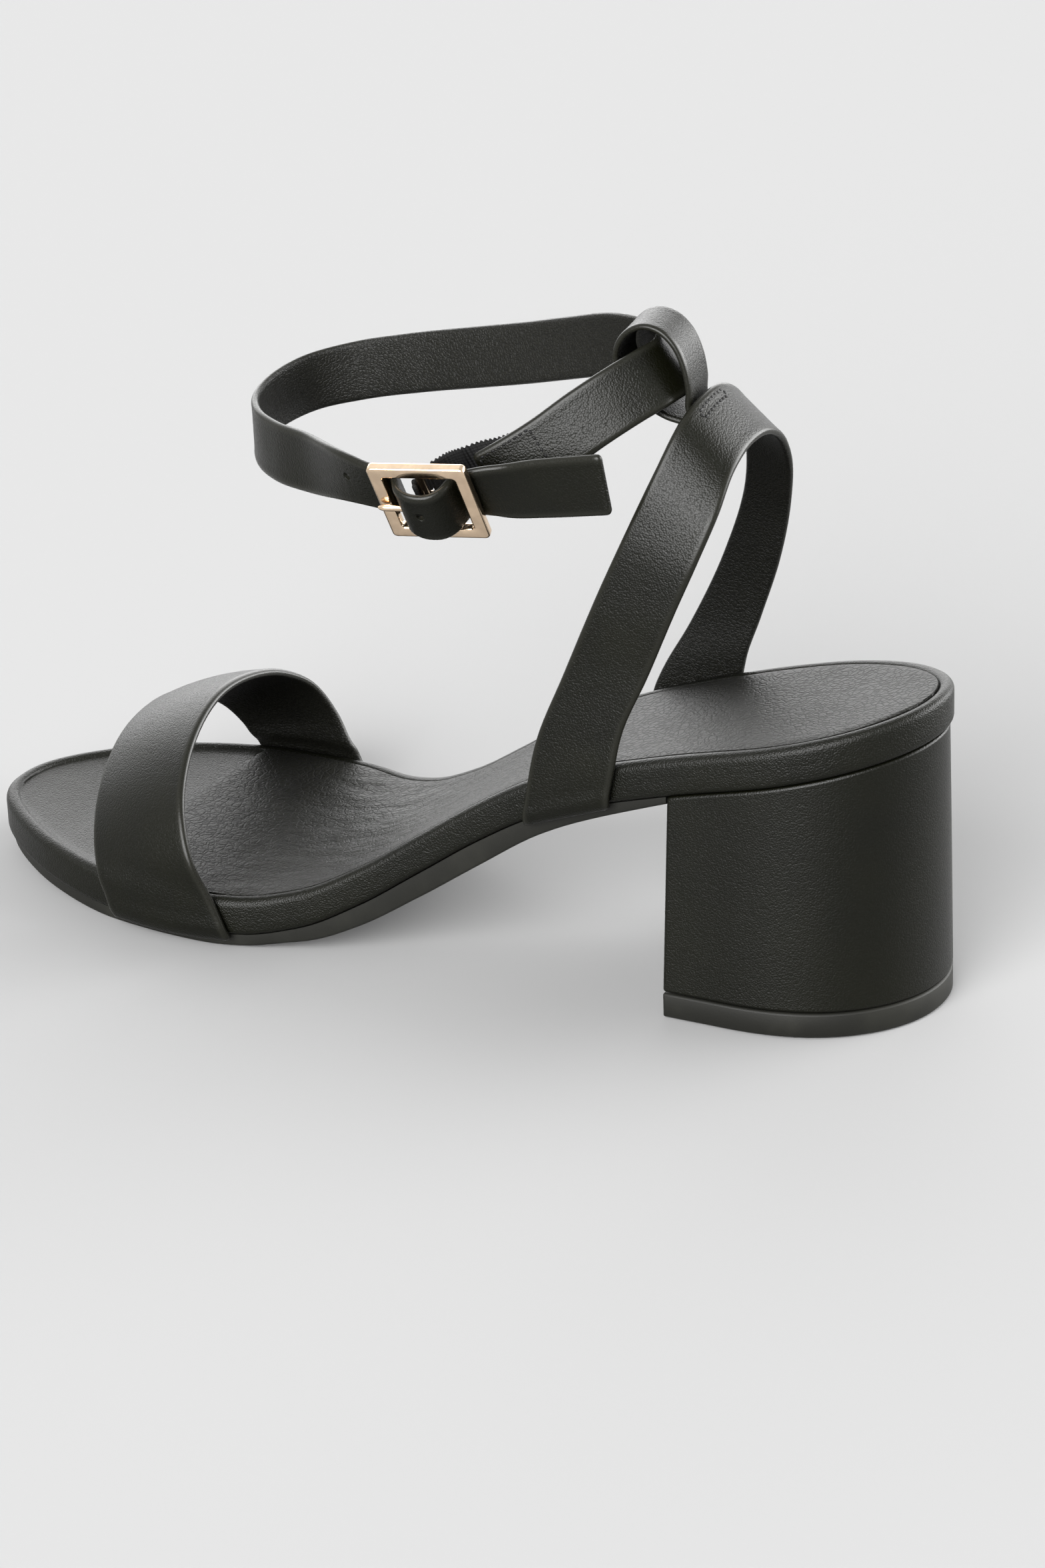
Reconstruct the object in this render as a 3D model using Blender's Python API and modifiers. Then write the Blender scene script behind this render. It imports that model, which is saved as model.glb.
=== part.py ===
"""Block heel sandal, left shoe, as an assembly of separate pieces.

Metres, +Z up. The origin is the centre of the heel's tread on the floor. The
toe points to -X, the outer (lateral) side is -Y, the inner (medial) side +Y.
"""
import math

import bpy
import bmesh
from mathutils import Matrix, Vector

# Clearances
GAP = 0.0003
STRAP_GAP = 0.0004
HOLE_GAP = 0.0005

# Footbed: plan length, widths at seat, waist and ball, board and cover thickness
SOLE_LENGTH = 0.236
SEAT_WIDTH = 0.0552
WAIST_WIDTH = 0.0497
BALL_WIDTH = 0.0806
BED_THICK = 0.0088
BED_TOP_RADIUS = 0.0020
BED_FOOT_RADIUS = 0.0013
BED_DISH = 0.0012
RIM_RISE = 0.0006
RIM_INSET = 0.0019

# Heights of the footbed's underside
HEEL_HEIGHT = 0.0645
TOE_SPRING = 0.0018

# Outsole, sock and heel
OUTSOLE_THICK = 0.0029
WAIST_THICK = 0.0060
OUTSOLE_INSET = 0.0012
SOCK_THICK = 0.0008
SOCK_LENGTH = 0.1905
SOCK_BOW = 0.0040
HEEL_LENGTH = 0.0525
HEEL_INSET = 0.0008
HEEL_FLARE = 0.0034
HEEL_BACK_FLARE = 0.0009
BREAST_SLOPE = 0.0003
LIFT_THICK = 0.0058
TREAD_ROUND = 0.0006

# Vamp strap: place and width on the sole, height of its two edges over the footbed
VAMP_PLACE = 0.1718
VAMP_SKEW = 0.0055
VAMP_WIDTH = 0.0290
VAMP_FRONT_RISE = 0.0212
VAMP_BACK_RISE = 0.0320
VAMP_LEAN = 0.40
VAMP_THICK = 0.0019
VAMP_BOW = 0.0013
TUCK = 0.0008

# Quarter strap: place and width on the sole, rise and reach of its arch
QUARTER_PLACE = 0.0768
QUARTER_SKEW = -0.0055
QUARTER_FOOT_WIDTH = 0.0212
QUARTER_WIDTH = 0.0148
QUARTER_SPAN = 0.0502
QUARTER_RISE = 0.0757
QUARTER_REACH = 0.0280
QUARTER_SLOPE = 43.0
QUARTER_LEAN = 0.20
QUARTER_THICK = 0.0018

# Keeper loop
LOOP_WIDTH = 0.0132
LOOP_THICK = 0.0014
LOOP_LENGTH = 0.0208
LOOP_DEPTH = 0.0092
LOOP_SEAT = 0.0022
LOOP_TAIL = 0.0055

# Ankle strap: ring length and width, height at its back, drop to its front
RING_LENGTH = 0.1003
RING_WIDTH = 0.0580
RING_PLACE = 0.0630
RING_HEIGHT = 0.1402
RING_DROP = 0.0290
STRAP_WIDTH = 0.0136
STRAP_THICK = 0.0018
TAIL_LENGTH = 0.0252
TAIL_SLANT = 0.10
STRAP_HOLE = 0.0017

# Buckle
BUCKLE_PLACE = 0.1023
BUCKLE_SIDE = 0.0362
BUCKLE_DROP = 0.0254
BUCKLE_LENGTH = 0.0222
BUCKLE_HEIGHT = 0.0218
BUCKLE_BAR = 0.0030
BUCKLE_DEPTH = 0.0022
BUCKLE_CORNER = 0.0012
BUCKLE_BEVEL = 0.0005
AXLE_RADIUS = 0.0009
PRONG_RADIUS = 0.00075
GORE_WIDTH = 0.0128
GORE_THICK = 0.0011
GORE_OFFSET = 0.0026

# Where the tread's centre lies from the footbed's back end
BACK_X = HEEL_LENGTH / 2 + HEEL_INSET
BREAST_X = BACK_X - HEEL_INSET - HEEL_LENGTH

# Outline from heel to toe: place along the sole, the width it follows, and
# the lateral and medial half widths as shares of that width
OUTLINE = (
    (0.00, SEAT_WIDTH, 0.500, 0.465),
    (0.07, SEAT_WIDTH, 0.508, 0.488),
    (0.15, SEAT_WIDTH, 0.502, 0.500),
    (0.25, WAIST_WIDTH, 0.556, 0.522),
    (0.36, WAIST_WIDTH, 0.545, 0.470),
    (0.48, WAIST_WIDTH, 0.590, 0.512),
    (0.60, BALL_WIDTH, 0.432, 0.424),
    (0.70, BALL_WIDTH, 0.482, 0.522),
    (0.80, BALL_WIDTH, 0.462, 0.530),
    (0.89, BALL_WIDTH, 0.415, 0.486),
    (0.96, BALL_WIDTH, 0.350, 0.412),
    (1.00, BALL_WIDTH, 0.310, 0.360),
)
HEEL_ROUND = (0.162, 2.07)
TOE_ROUND = (0.275, 2.36)

# Side view of the footbed's underside: place along the sole, share of the
# heel's rise over the outsole, share of the toe spring
PROFILE = (
    (0.00, 1.000, 0.0),
    (0.12, 0.884, 0.0),
    (0.24, 0.768, 0.0),
    (0.36, 0.610, 0.0),
    (0.42, 0.478, 0.0),
    (0.48, 0.320, 0.0),
    (0.54, 0.166, 0.0),
    (0.60, 0.052, 0.0),
    (0.655, 0.006, 0.0),
    (0.70, 0.000, 0.0),
    (0.80, 0.000, 0.0),
    (0.90, 0.000, 0.55),
    (1.00, 0.000, 1.0),
)

# Outsole thickness along the sole, as shares of the forefoot's and waist's own
OUTSOLE_PROFILE = (
    (0.20, 0.0, 0.22),
    (0.32, 0.0, 0.60),
    (0.44, 0.0, 1.00),
    (0.54, 0.0, 0.86),
    (0.64, 1.0, 0.00),
    (0.90, 1.0, 0.00),
    (1.00, 0.9, 0.00),
)

# Vamp arch, lateral to medial: share of the half width and of the rise
VAMP_FRONT = (
    (-0.965, 0.12),
    (-0.885, 0.32),
    (-0.710, 0.60),
    (-0.440, 0.85),
    (-0.020, 1.00),
    (0.340, 0.945),
    (0.620, 0.770),
    (0.820, 0.505),
    (0.925, 0.240),
    (0.965, 0.080),
)
VAMP_BACK = (
    (-1.010, 0.10),
    (-1.030, 0.28),
    (-0.940, 0.56),
    (-0.710, 0.80),
    (-0.180, 1.00),
    (0.280, 0.945),
    (0.630, 0.785),
    (0.870, 0.560),
    (0.960, 0.300),
    (0.975, 0.080),
)

# Quarter arch, lateral to medial: share of the half span, of the rise, and of
# the reach backwards for the front edge and for the back edge
QUARTER_ARCH = (
    (-1.02, 0.11, 0.06, 0.07),
    (-1.05, 0.33, 0.295, 0.365),
    (-1.03, 0.56, 0.56, 0.67),
    (-0.96, 0.73, 0.76, 0.89),
    (-0.80, 0.865, 0.90, 1.02),
    (-0.52, 0.970, 0.98, 1.03),
    (-0.18, 1.00, 1.00, 1.00),
    (0.16, 0.995, 1.00, 1.00),
    (0.46, 0.945, 1.00, 1.00),
    (0.74, 0.83, 0.97, 0.96),
    (0.93, 0.65, 0.90, 0.82),
    (1.02, 0.43, 0.66, 0.59),
    (1.04, 0.21, 0.33, 0.27),
    (1.00, 0.07, 0.09, 0.07),
)

# Ankle ring from the gore end round the loop, the inner side and the front to
# the buckle: share of the length forward of the loop, of the half width, of
# the drop, and the outward lean in degrees
RING_ROWS = (
    (0.300, -0.900, 0.810, 0),
    (0.250, -0.870, 0.690, -4),
    (0.175, -0.790, 0.500, -10),
    (0.105, -0.660, 0.298, -14),
    (0.045, -0.480, 0.128, -22),
    (0.006, -0.280, 0.015, -31),
    (-0.005, -0.100, 0.000, -33),
    (0.022, 0.060, -0.015, -30),
    (0.064, 0.170, 0.000, -16),
    (0.165, 0.310, 0.100, -2),
    (0.310, 0.520, 0.278, 9),
    (0.440, 0.680, 0.403, 14),
    (0.575, 0.800, 0.527, 12),
    (0.750, 0.880, 0.662, 7),
    (0.885, 0.830, 0.758, 3),
    (0.968, 0.640, 0.848, 0),
    (0.999, 0.320, 0.900, 0),
    (0.992, -0.020, 0.945, 0),
    (0.940, -0.330, 0.930, 3),
    (0.850, -0.600, 0.895, 8),
    (0.740, -0.800, 0.850, 14),
)

# Run of the strap through the buckle, in the buckle's own axes: place as a
# share of the half length, depth as a share of the stack over the bars, and
# the height off the middle as a share of the strap's width
THROUGH_ROWS = (
    (-1.55, -1.05, 0.19),
    (-1.15, -1.00, 0.09),
    (-0.86, -1.00, 0.05),
    (-0.66, -1.00, 0.04),
    (-0.52, -0.66, 0.03),
    (-0.43, 0.10, 0.02),
    (-0.34, 0.76, 0.02),
    (-0.18, 1.12, 0.00),
    (0.02, 1.22, -0.02),
    (0.22, 1.08, -0.03),
    (0.36, 0.60, -0.03),
    (0.46, -0.20, -0.02),
    (0.56, -0.80, -0.01),
    (0.70, -1.00, 0.00),
    (0.86, -1.00, 0.01),
    (1.12, -1.00, 0.03),
    (1.50, -1.00, 0.08),
)

LEATHER = ("leather_black", (0.030, 0.030, 0.028), 0.46, 0.0)
LINING = ("leather_lining", (0.036, 0.035, 0.033), 0.58, 0.0)
RUBBER = ("sole_black", (0.022, 0.022, 0.021), 0.62, 0.0)
GOLD = ("metal_pale_gold", (0.83, 0.66, 0.46), 0.22, 1.0)
ELASTIC = ("elastic_black", (0.012, 0.012, 0.012), 0.80, 0.0)


def smooth(rows, place, column):
    """Monotone cubic through one column of a table whose first column is the place."""
    xs = [row[0] for row in rows]
    ys = [column(row) for row in rows]
    count = len(xs)
    steps = [xs[i + 1] - xs[i] for i in range(count - 1)]
    slopes = [(ys[i + 1] - ys[i]) / steps[i] for i in range(count - 1)]
    tangents = [slopes[0]]
    for i in range(1, count - 1):
        if slopes[i - 1] * slopes[i] <= 0:
            tangents.append(0.0)
            continue
        first = 2 * steps[i] + steps[i - 1]
        second = steps[i] + 2 * steps[i - 1]
        tangents.append((first + second) / (first / slopes[i - 1] + second / slopes[i]))
    tangents.append(slopes[-1])
    place = min(max(place, xs[0]), xs[-1])
    i = 0
    while i < count - 2 and place > xs[i + 1]:
        i += 1
    t = (place - xs[i]) / steps[i]
    a = ys[i] * (1 + 2 * t) * (1 - t) ** 2 + steps[i] * tangents[i] * t * (1 - t) ** 2
    b = ys[i + 1] * t * t * (3 - 2 * t) + steps[i] * tangents[i + 1] * t * t * (t - 1)
    return a + b


def end_round(share, corner):
    """Rounding of the outline near an end: 0 at the end, 1 past the corner."""
    reach, power = corner
    t = min(max(1 - share / reach, 0.0), 1.0)
    return (1 - t ** power) ** (1 / power)


def sole_share(x):
    return (BACK_X - x) / SOLE_LENGTH


def half_width(share, side):
    """Half width of the footbed on one side, -1 lateral or 1 medial."""
    column = 2 if side < 0 else 3
    width = smooth(OUTLINE, share, lambda row: row[1] * row[column])
    return width * end_round(share, HEEL_ROUND) * end_round(1 - share, TOE_ROUND)


def outline_point(turn, side):
    share = 0.5 * (1 - math.cos(math.pi * turn))
    return Vector((BACK_X - SOLE_LENGTH * share, side * half_width(share, side)))


def edge_point(turn, side, inset):
    """Point of the outline moved in by the inset, along the outline's normal."""
    point = outline_point(turn, side)
    if turn <= 0:
        return point + Vector((-inset, 0))
    if turn >= 1:
        return point + Vector((inset, 0))
    ahead = outline_point(min(turn + 0.004, 1), side)
    behind = outline_point(max(turn - 0.004, 0), side)
    tangent = (ahead - behind).normalized()
    normal = Vector((tangent.y, -tangent.x)) * side
    return point + normal * -inset if normal.y * side > 0 else point + normal * inset


def bed_under(x):
    share = sole_share(x)
    rise = smooth(PROFILE, share, lambda row: row[1]) * (HEEL_HEIGHT - OUTSOLE_THICK - GAP)
    spring = smooth(PROFILE, share, lambda row: row[2]) * TOE_SPRING
    return OUTSOLE_THICK + GAP + rise + spring


def dish(x, y):
    """Share of the dish's depth, nothing at the footbed's edge and all at its middle."""
    share = min(max(sole_share(x), 0.02), 0.98)
    side = -1 if y < 0 else 1
    across = min(abs(y) / half_width(share, side), 1.0)
    return (1 - across ** 2.5) * min(share, 1 - share, 0.1) / 0.1


def bed_top(x, y):
    return bed_under(x) + BED_THICK - BED_DISH * dish(x, y)


def outsole_thick(x):
    share = sole_share(x)
    front = smooth(OUTSOLE_PROFILE, share, lambda row: row[1]) * OUTSOLE_THICK
    return front + smooth(OUTSOLE_PROFILE, share, lambda row: row[2]) * WAIST_THICK


def turn_of(x):
    """The outline's turn at which its plan position is x."""
    share = min(max(sole_share(x), 0.0), 1.0)
    return math.acos(1 - 2 * share) / math.pi


def wall_y(x, side, clear):
    return side * (half_width(sole_share(x), side) + clear)


def material(look):
    name, colour, rough, metal = look
    found = bpy.data.materials.get(name)
    if found:
        return found
    made = bpy.data.materials.new(name)
    made.use_nodes = True
    made.diffuse_color = (*colour, 1)
    shader = made.node_tree.nodes["Principled BSDF"]
    shader.inputs["Base Color"].default_value = (*colour, 1)
    shader.inputs["Roughness"].default_value = rough
    shader.inputs["Metallic"].default_value = metal
    return made


def finish_mesh(name, mesh, look, parts, smooth_angle=40):
    """Weld the built mesh, turn its faces outward and add it as an object."""
    bmesh.ops.remove_doubles(mesh, verts=mesh.verts, dist=1e-6)
    bmesh.ops.recalc_face_normals(mesh, faces=mesh.faces)
    data = bpy.data.meshes.new(name)
    mesh.to_mesh(data)
    mesh.free()
    return place_object(name, data, look, parts, smooth_angle)


def place_object(name, data, look, parts, smooth_angle=40):
    data.materials.clear()
    data.materials.append(material(look))
    data.shade_smooth()
    data.set_sharp_from_angle(angle=math.radians(smooth_angle))
    made = bpy.data.objects.new(name, data)
    parts.objects.link(made)
    return made


def grid_faces(mesh, rows):
    for i in range(len(rows) - 1):
        for j in range(len(rows[i]) - 1):
            mesh.faces.new((rows[i][j], rows[i][j + 1], rows[i + 1][j + 1], rows[i + 1][j]))


def ring_faces(mesh, first, second):
    count = len(first)
    for i in range(count):
        j = (i + 1) % count
        mesh.faces.new((first[i], first[j], second[j], second[i]))


def layered_solid(name, look, parts, turns, layers, columns, low, high, straight_back):
    """A plate with the sole's outline.

    Layers run from the underside to the top, each an inset and a height
    function. The first and last are closed by grids over low and high.
    """
    mesh = bmesh.new()
    rings = []
    for inset, height in layers:
        lateral = [edge_point(turn, -1, inset) for turn in turns]
        medial = [edge_point(turn, 1, inset) for turn in turns]
        if straight_back:
            for points in (lateral, medial):
                points[0].x = straight_back
                points[1].x = min(points[1].x, straight_back - 0.0005)
        points = lateral + medial[::-1]
        rings.append([mesh.verts.new((p.x, p.y, height(p.x, p.y))) for p in points])
    for first, second in zip(rings, rings[1:]):
        ring_faces(mesh, first, second)
    for ring, height in ((rings[0], low), (rings[-1], high)):
        count = len(turns)
        rows = []
        for i in range(count):
            start = ring[i]
            stop = ring[2 * count - 1 - i]
            row = [start]
            for j in range(1, columns):
                p = start.co.lerp(stop.co, j / columns)
                row.append(mesh.verts.new((p.x, p.y, height(p.x, p.y))))
            row.append(stop)
            rows.append(row)
        grid_faces(mesh, rows)
        if straight_back:
            # the grid's own back row closes against the ring's straight back edge
            back = [v for v in rows[0]]
            if len(back) > 2:
                mesh.faces.new(back)
    return finish_mesh(name, mesh, look, parts)


def cosine_turns(count):
    return [i / count for i in range(count + 1)]


def make_footbed(parts):
    """Leather wrapped insole board with a rounded rim round the foot."""
    rise = RIM_RISE
    layers = (
        (BED_FOOT_RADIUS, lambda x, y: bed_under(x)),
        (0.3 * BED_FOOT_RADIUS, lambda x, y: bed_under(x) + 0.3 * BED_FOOT_RADIUS),
        (0.0, lambda x, y: bed_under(x) + BED_FOOT_RADIUS),
        (0.0, lambda x, y: bed_under(x) + BED_THICK - BED_TOP_RADIUS),
        (0.3 * BED_TOP_RADIUS, lambda x, y: bed_under(x) + BED_THICK - 0.3 * BED_TOP_RADIUS),
        (RIM_INSET, lambda x, y: bed_under(x) + BED_THICK),
        (RIM_INSET + 2 * rise, lambda x, y: bed_top(x, y) - rise),
    )
    return layered_solid("footbed", LEATHER, parts, cosine_turns(40), layers, 6,
                         lambda x, y: bed_under(x), lambda x, y: bed_top(x, y) - rise, None)


def make_sock(parts):
    """Thin sock lining that lies inside the footbed's rim and ends short of the toe."""
    front = BACK_X - SOCK_LENGTH
    inset = RIM_INSET + 2 * RIM_RISE + GAP
    rows_count = 44
    columns = 8
    mesh = bmesh.new()
    start = turn_of(BACK_X)
    stop = turn_of(front)
    top = []
    under = []
    for i in range(rows_count + 1):
        turn = start + (stop - start) * i / rows_count
        lateral = edge_point(turn, -1, inset)
        medial = edge_point(turn, 1, inset)
        fade = max(0.0, i / rows_count - 0.8) / 0.2
        row_top = []
        row_under = []
        for j in range(columns + 1):
            p = lateral.lerp(medial, j / columns)
            x = p.x - SOCK_BOW * fade * (1 - (2 * j / columns - 1) ** 2)
            z = bed_top(x, p.y) - RIM_RISE + GAP
            row_under.append(mesh.verts.new((x, p.y, z)))
            row_top.append(mesh.verts.new((x, p.y, z + SOCK_THICK)))
        top.append(row_top)
        under.append(row_under)
    grid_faces(mesh, top)
    grid_faces(mesh, under)
    for i in range(rows_count):
        for j in (0, columns):
            mesh.faces.new((top[i][j], top[i + 1][j], under[i + 1][j], under[i][j]))
    for i in (0, rows_count):
        for j in range(columns):
            mesh.faces.new((top[i][j], top[i][j + 1], under[i][j + 1], under[i][j]))
    return finish_mesh("sock_lining", mesh, LINING, parts)


def make_outsole(parts):
    """Rubber outsole from the heel's breast to the toe."""
    rows_count = 40
    columns = 8
    edge = 0.0007
    breast = BREAST_X - GAP
    start = turn_of(breast)
    mesh = bmesh.new()
    rings = []
    tops = []
    unders = []
    for i in range(rows_count + 1):
        turn = start + (1 - start) * i / rows_count
        lateral = edge_point(turn, -1, OUTSOLE_INSET)
        medial = edge_point(turn, 1, OUTSOLE_INSET)
        if i == 0:
            lateral.x = medial.x = breast
        top = []
        under = []
        for j in range(columns + 1):
            p = lateral.lerp(medial, j / columns)
            z = bed_under(p.x) - GAP
            top.append(mesh.verts.new((p.x, p.y, z)))
            under.append(p)
        low = []
        for j in range(columns + 1):
            p = under[j]
            squeeze = 0.0
            if j == 0:
                squeeze = edge
            if j == columns:
                squeeze = -edge
            drop = outsole_thick(p.x)
            if abs(lateral.y - medial.y) < 4 * edge:
                squeeze = 0.0
            low.append(mesh.verts.new((p.x, p.y + squeeze, bed_under(p.x) - GAP - drop)))
        side_a = mesh.verts.new((lateral.x, lateral.y, bed_under(lateral.x) - GAP - outsole_thick(lateral.x) + edge))
        side_b = mesh.verts.new((medial.x, medial.y, bed_under(medial.x) - GAP - outsole_thick(medial.x) + edge))
        tops.append(top)
        unders.append(low)
        rings.append((side_a, side_b))
    grid_faces(mesh, tops)
    grid_faces(mesh, unders)
    for i in range(rows_count):
        for k, j in ((0, 0), (1, columns)):
            mesh.faces.new((tops[i][j], tops[i + 1][j], rings[i + 1][k], rings[i][k]))
            mesh.faces.new((rings[i][k], rings[i + 1][k], unders[i + 1][j], unders[i][j]))
    for i in (0, rows_count):
        face = tops[i] + [rings[i][1]] + unders[i][::-1] + [rings[i][0]]
        mesh.faces.new(face)
    return finish_mesh("outsole", mesh, RUBBER, parts)


def heel_rings(mesh, heights, inset_of, count):
    """Closed D shaped rings of the heel, back half round and breast flat."""
    stop = turn_of(BREAST_X)
    rings = []
    for level in range(len(heights)):
        inset, back, breast = inset_of(level)
        points = []
        for side in (-1, 1):
            arm = [edge_point(stop * i / count, side, inset) for i in range(count + 1)]
            arm[-1].x = breast
            for p in arm:
                p.x += back * max(p.x - BREAST_X, 0.0) / HEEL_LENGTH
            points.append(arm)
        ring = points[0][::-1] + points[1][1:]
        rings.append([mesh.verts.new((p.x, p.y, heights[level](p.x))) for p in ring])
    for first, second in zip(rings, rings[1:]):
        for i in range(len(first) - 1):
            mesh.faces.new((first[i], first[i + 1], second[i + 1], second[i]))
    return rings


def close_heel(mesh, rings, columns, low, high):
    """Grids over the heel's two ends and its flat breast."""
    breasts = []
    for ring, height in ((rings[0], low), (rings[-1], high)):
        half = len(ring) // 2
        rows = []
        for i in range(half + 1):
            start = ring[i]
            stop = ring[len(ring) - 1 - i]
            row = [start]
            if start is not stop:
                for j in range(1, columns):
                    p = start.co.lerp(stop.co, j / columns)
                    row.append(mesh.verts.new((p.x, p.y, height(p.x))))
                row.append(stop)
            rows.append(row)
        for first, second in zip(rows, rows[1:]):
            if len(second) == 1:
                for j in range(columns):
                    mesh.faces.new((first[j], first[j + 1], second[0]))
                continue
            grid_faces(mesh, [first, second])
        breasts.append(rows[0])
    sides = [(ring[0], ring[-1]) for ring in rings[1:-1]]
    wall = breasts[0] + [pair[1] for pair in sides] + breasts[1][::-1] + [pair[0] for pair in sides][::-1]
    mesh.faces.new(wall)


def make_heel(parts):
    """Covered block heel with a flat breast, flared to the floor."""
    foot = LIFT_THICK + GAP
    mesh = bmesh.new()

    def level(share):
        return lambda x: foot + (bed_under(x) - GAP - foot) * share

    shares = (0.0, 0.33, 0.66, 1.0)

    def inset_of(i):
        share = shares[i]
        inset = HEEL_INSET - HEEL_FLARE * (1 - share)
        return inset, HEEL_BACK_FLARE * (1 - share) - HEEL_FLARE * (1 - share), BREAST_X - BREAST_SLOPE * (1 - share)

    rings = heel_rings(mesh, [level(s) for s in shares], inset_of, 16)
    close_heel(mesh, rings, 6, level(0.0), level(1.0))
    return finish_mesh("heel_block", mesh, LEATHER, parts)


def make_lift(parts):
    """Rubber top lift under the heel, its flat tread on the floor."""
    mesh = bmesh.new()

    def inset_of(i):
        round_off = TREAD_ROUND if i == 0 else 0.0
        inset = HEEL_INSET - HEEL_FLARE + round_off
        return inset, HEEL_BACK_FLARE - HEEL_FLARE, BREAST_X - BREAST_SLOPE

    heights = [lambda x: 0.0, lambda x: TREAD_ROUND, lambda x: LIFT_THICK]
    rings = heel_rings(mesh, heights, inset_of, 16)
    close_heel(mesh, rings, 4, heights[0], heights[-1])
    return finish_mesh("top_lift", mesh, RUBBER, parts)


def spline(points, pieces):
    """Points on a smooth curve through the rows, with a few pieces in each interval."""
    count = len(points)
    size = len(points[0])
    lengths = []
    for i in range(count - 1):
        lengths.append(max((sum((points[i + 1][k] - points[i][k]) ** 2 for k in range(size))) ** 0.5, 1e-9))
    tangents = []
    for i in range(count):
        if i == 0:
            tangents.append([(points[1][k] - points[0][k]) / lengths[0] for k in range(size)])
        elif i == count - 1:
            tangents.append([(points[-1][k] - points[-2][k]) / lengths[-1] for k in range(size)])
        else:
            a = lengths[i - 1]
            b = lengths[i]
            tangents.append([
                ((points[i][k] - points[i - 1][k]) / a * b + (points[i + 1][k] - points[i][k]) / b * a) / (a + b)
                for k in range(size)])
    result = []
    for i in range(count - 1):
        steps = pieces if isinstance(pieces, int) else pieces[i]
        for j in range(steps):
            t = j / steps
            h00 = (1 + 2 * t) * (1 - t) ** 2
            h10 = t * (1 - t) ** 2
            h01 = t * t * (3 - 2 * t)
            h11 = t * t * (t - 1)
            result.append([
                h00 * points[i][k] + h10 * lengths[i] * tangents[i][k]
                + h01 * points[i + 1][k] + h11 * lengths[i] * tangents[i + 1][k]
                for k in range(size)])
    result.append(list(points[-1]))
    return result


def make_band(name, look, parts, first, second, thick, pieces, columns, bow=0.0):
    """A strap between two edge curves: one face, thickened away from it.

    The thickness and the bow go to the side of the run crossed with the way
    from the first edge to the second.
    """
    rows = spline([(*a, *b) for a, b in zip(first, second)], pieces)
    mesh = bmesh.new()
    grid = []
    for i, row in enumerate(rows):
        a = Vector(row[:3])
        b = Vector(row[3:])
        run = Vector(rows[min(i + 1, len(rows) - 1)][:3]) - Vector(rows[max(i - 1, 0)][:3])
        side = run.cross(b - a).normalized() * bow
        line = []
        for j in range(columns + 1):
            share = j / columns
            line.append(mesh.verts.new(a.lerp(b, share) + side * 4 * share * (1 - share)))
        grid.append(line)
    grid_faces(mesh, grid[::-1])
    data = bpy.data.meshes.new(name)
    mesh.to_mesh(data)
    mesh.free()
    made = place_object(name, data, look, parts)
    wall = made.modifiers.new("thickness", "SOLIDIFY")
    wall.thickness = thick
    wall.offset = 1.0
    wall.use_even_offset = True
    return made


def strap_foot(x, side, lean):
    """A strap's end on the footbed's side: inner face, from the tuck to the rim."""
    points = []
    under = bed_under(x)
    for clear, height in ((STRAP_GAP - TUCK, -0.25 * TUCK), (STRAP_GAP, BED_FOOT_RADIUS),
                          (STRAP_GAP, 0.55 * BED_THICK), (STRAP_GAP, BED_THICK)):
        leant = x + lean * height
        points.append((leant, wall_y(leant, side, clear), under + height))
    return points


def make_vamp(parts):
    """Broad strap over the toes, its ends down the footbed's sides."""

    def edge(rows, rise, half):
        near = BACK_X - VAMP_PLACE - half
        far = BACK_X - VAMP_PLACE - VAMP_SKEW - half * 0.86
        points = strap_foot(near, -1, -VAMP_LEAN)
        other = strap_foot(far, 1, -VAMP_LEAN)[::-1]
        lateral = points[-1][1]
        medial = other[0][1]
        middle = (lateral + medial) / 2
        reach = (medial - lateral) / 2
        for across, up in rows:
            base = points[3][0] + (other[0][0] - points[3][0]) * (across + 1) / 2
            height = bed_under(base) + BED_THICK + up * rise
            points.append((base - VAMP_LEAN * up * rise, middle + across * reach, height))
        return points + other

    front = edge(VAMP_FRONT, VAMP_FRONT_RISE, 0.54 * VAMP_WIDTH)
    back = edge(VAMP_BACK, VAMP_BACK_RISE, -0.54 * VAMP_WIDTH)
    pieces = [1, 1, 1, 2] + [3] * 9 + [2, 1, 1, 1]
    return make_band("vamp_strap", LEATHER, parts, back, front, VAMP_THICK, pieces, 4, VAMP_BOW)


def quarter_frame():
    """Middle of the quarter arch's top, and the way its width runs there."""
    foot = BACK_X - QUARTER_PLACE
    top = Vector((foot + QUARTER_REACH, 0, bed_under(foot) + BED_THICK + QUARTER_RISE))
    slope = math.radians(QUARTER_SLOPE)
    return top, Vector((math.cos(slope), 0, -math.sin(slope)))


def make_quarter(parts):
    """Strap that arches over the heel from side to side of the waist."""
    top, along = quarter_frame()

    def edge(sign):
        half = QUARTER_FOOT_WIDTH / 2
        near = BACK_X - QUARTER_PLACE + sign * half
        far = near - QUARTER_SKEW
        points = strap_foot(near, -1, QUARTER_LEAN)
        other = strap_foot(far, 1, QUARTER_LEAN)[::-1]
        lateral = points[-1]
        medial = other[0]
        for across, up, front, back in QUARTER_ARCH:
            start = Vector(lateral if across < 0 else medial)
            crest = top + along * (sign * QUARTER_WIDTH / 2)
            x = start.x + (crest.x - start.x) * (back if sign > 0 else front)
            z = start.z + (crest.z - start.z) * up
            fade = min(up / 0.3, 1.0)
            y = across * (QUARTER_SPAN / 2 * fade + abs(start.y) * (1 - fade))
            points.append((x, y, z))
        return points + other

    pieces = [1, 1, 1, 2] + [3] * 13 + [2, 1, 1, 1]
    return make_band("quarter_strap", LEATHER, parts, edge(1), edge(-1), QUARTER_THICK, pieces, 3)


def loop_frame():
    """Front top corner of the quarter arch, where the keeper loop comes out."""
    top, along = quarter_frame()
    out = Vector((-along.z, 0, along.x))
    return top - along * (QUARTER_WIDTH / 2), along, out


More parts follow.
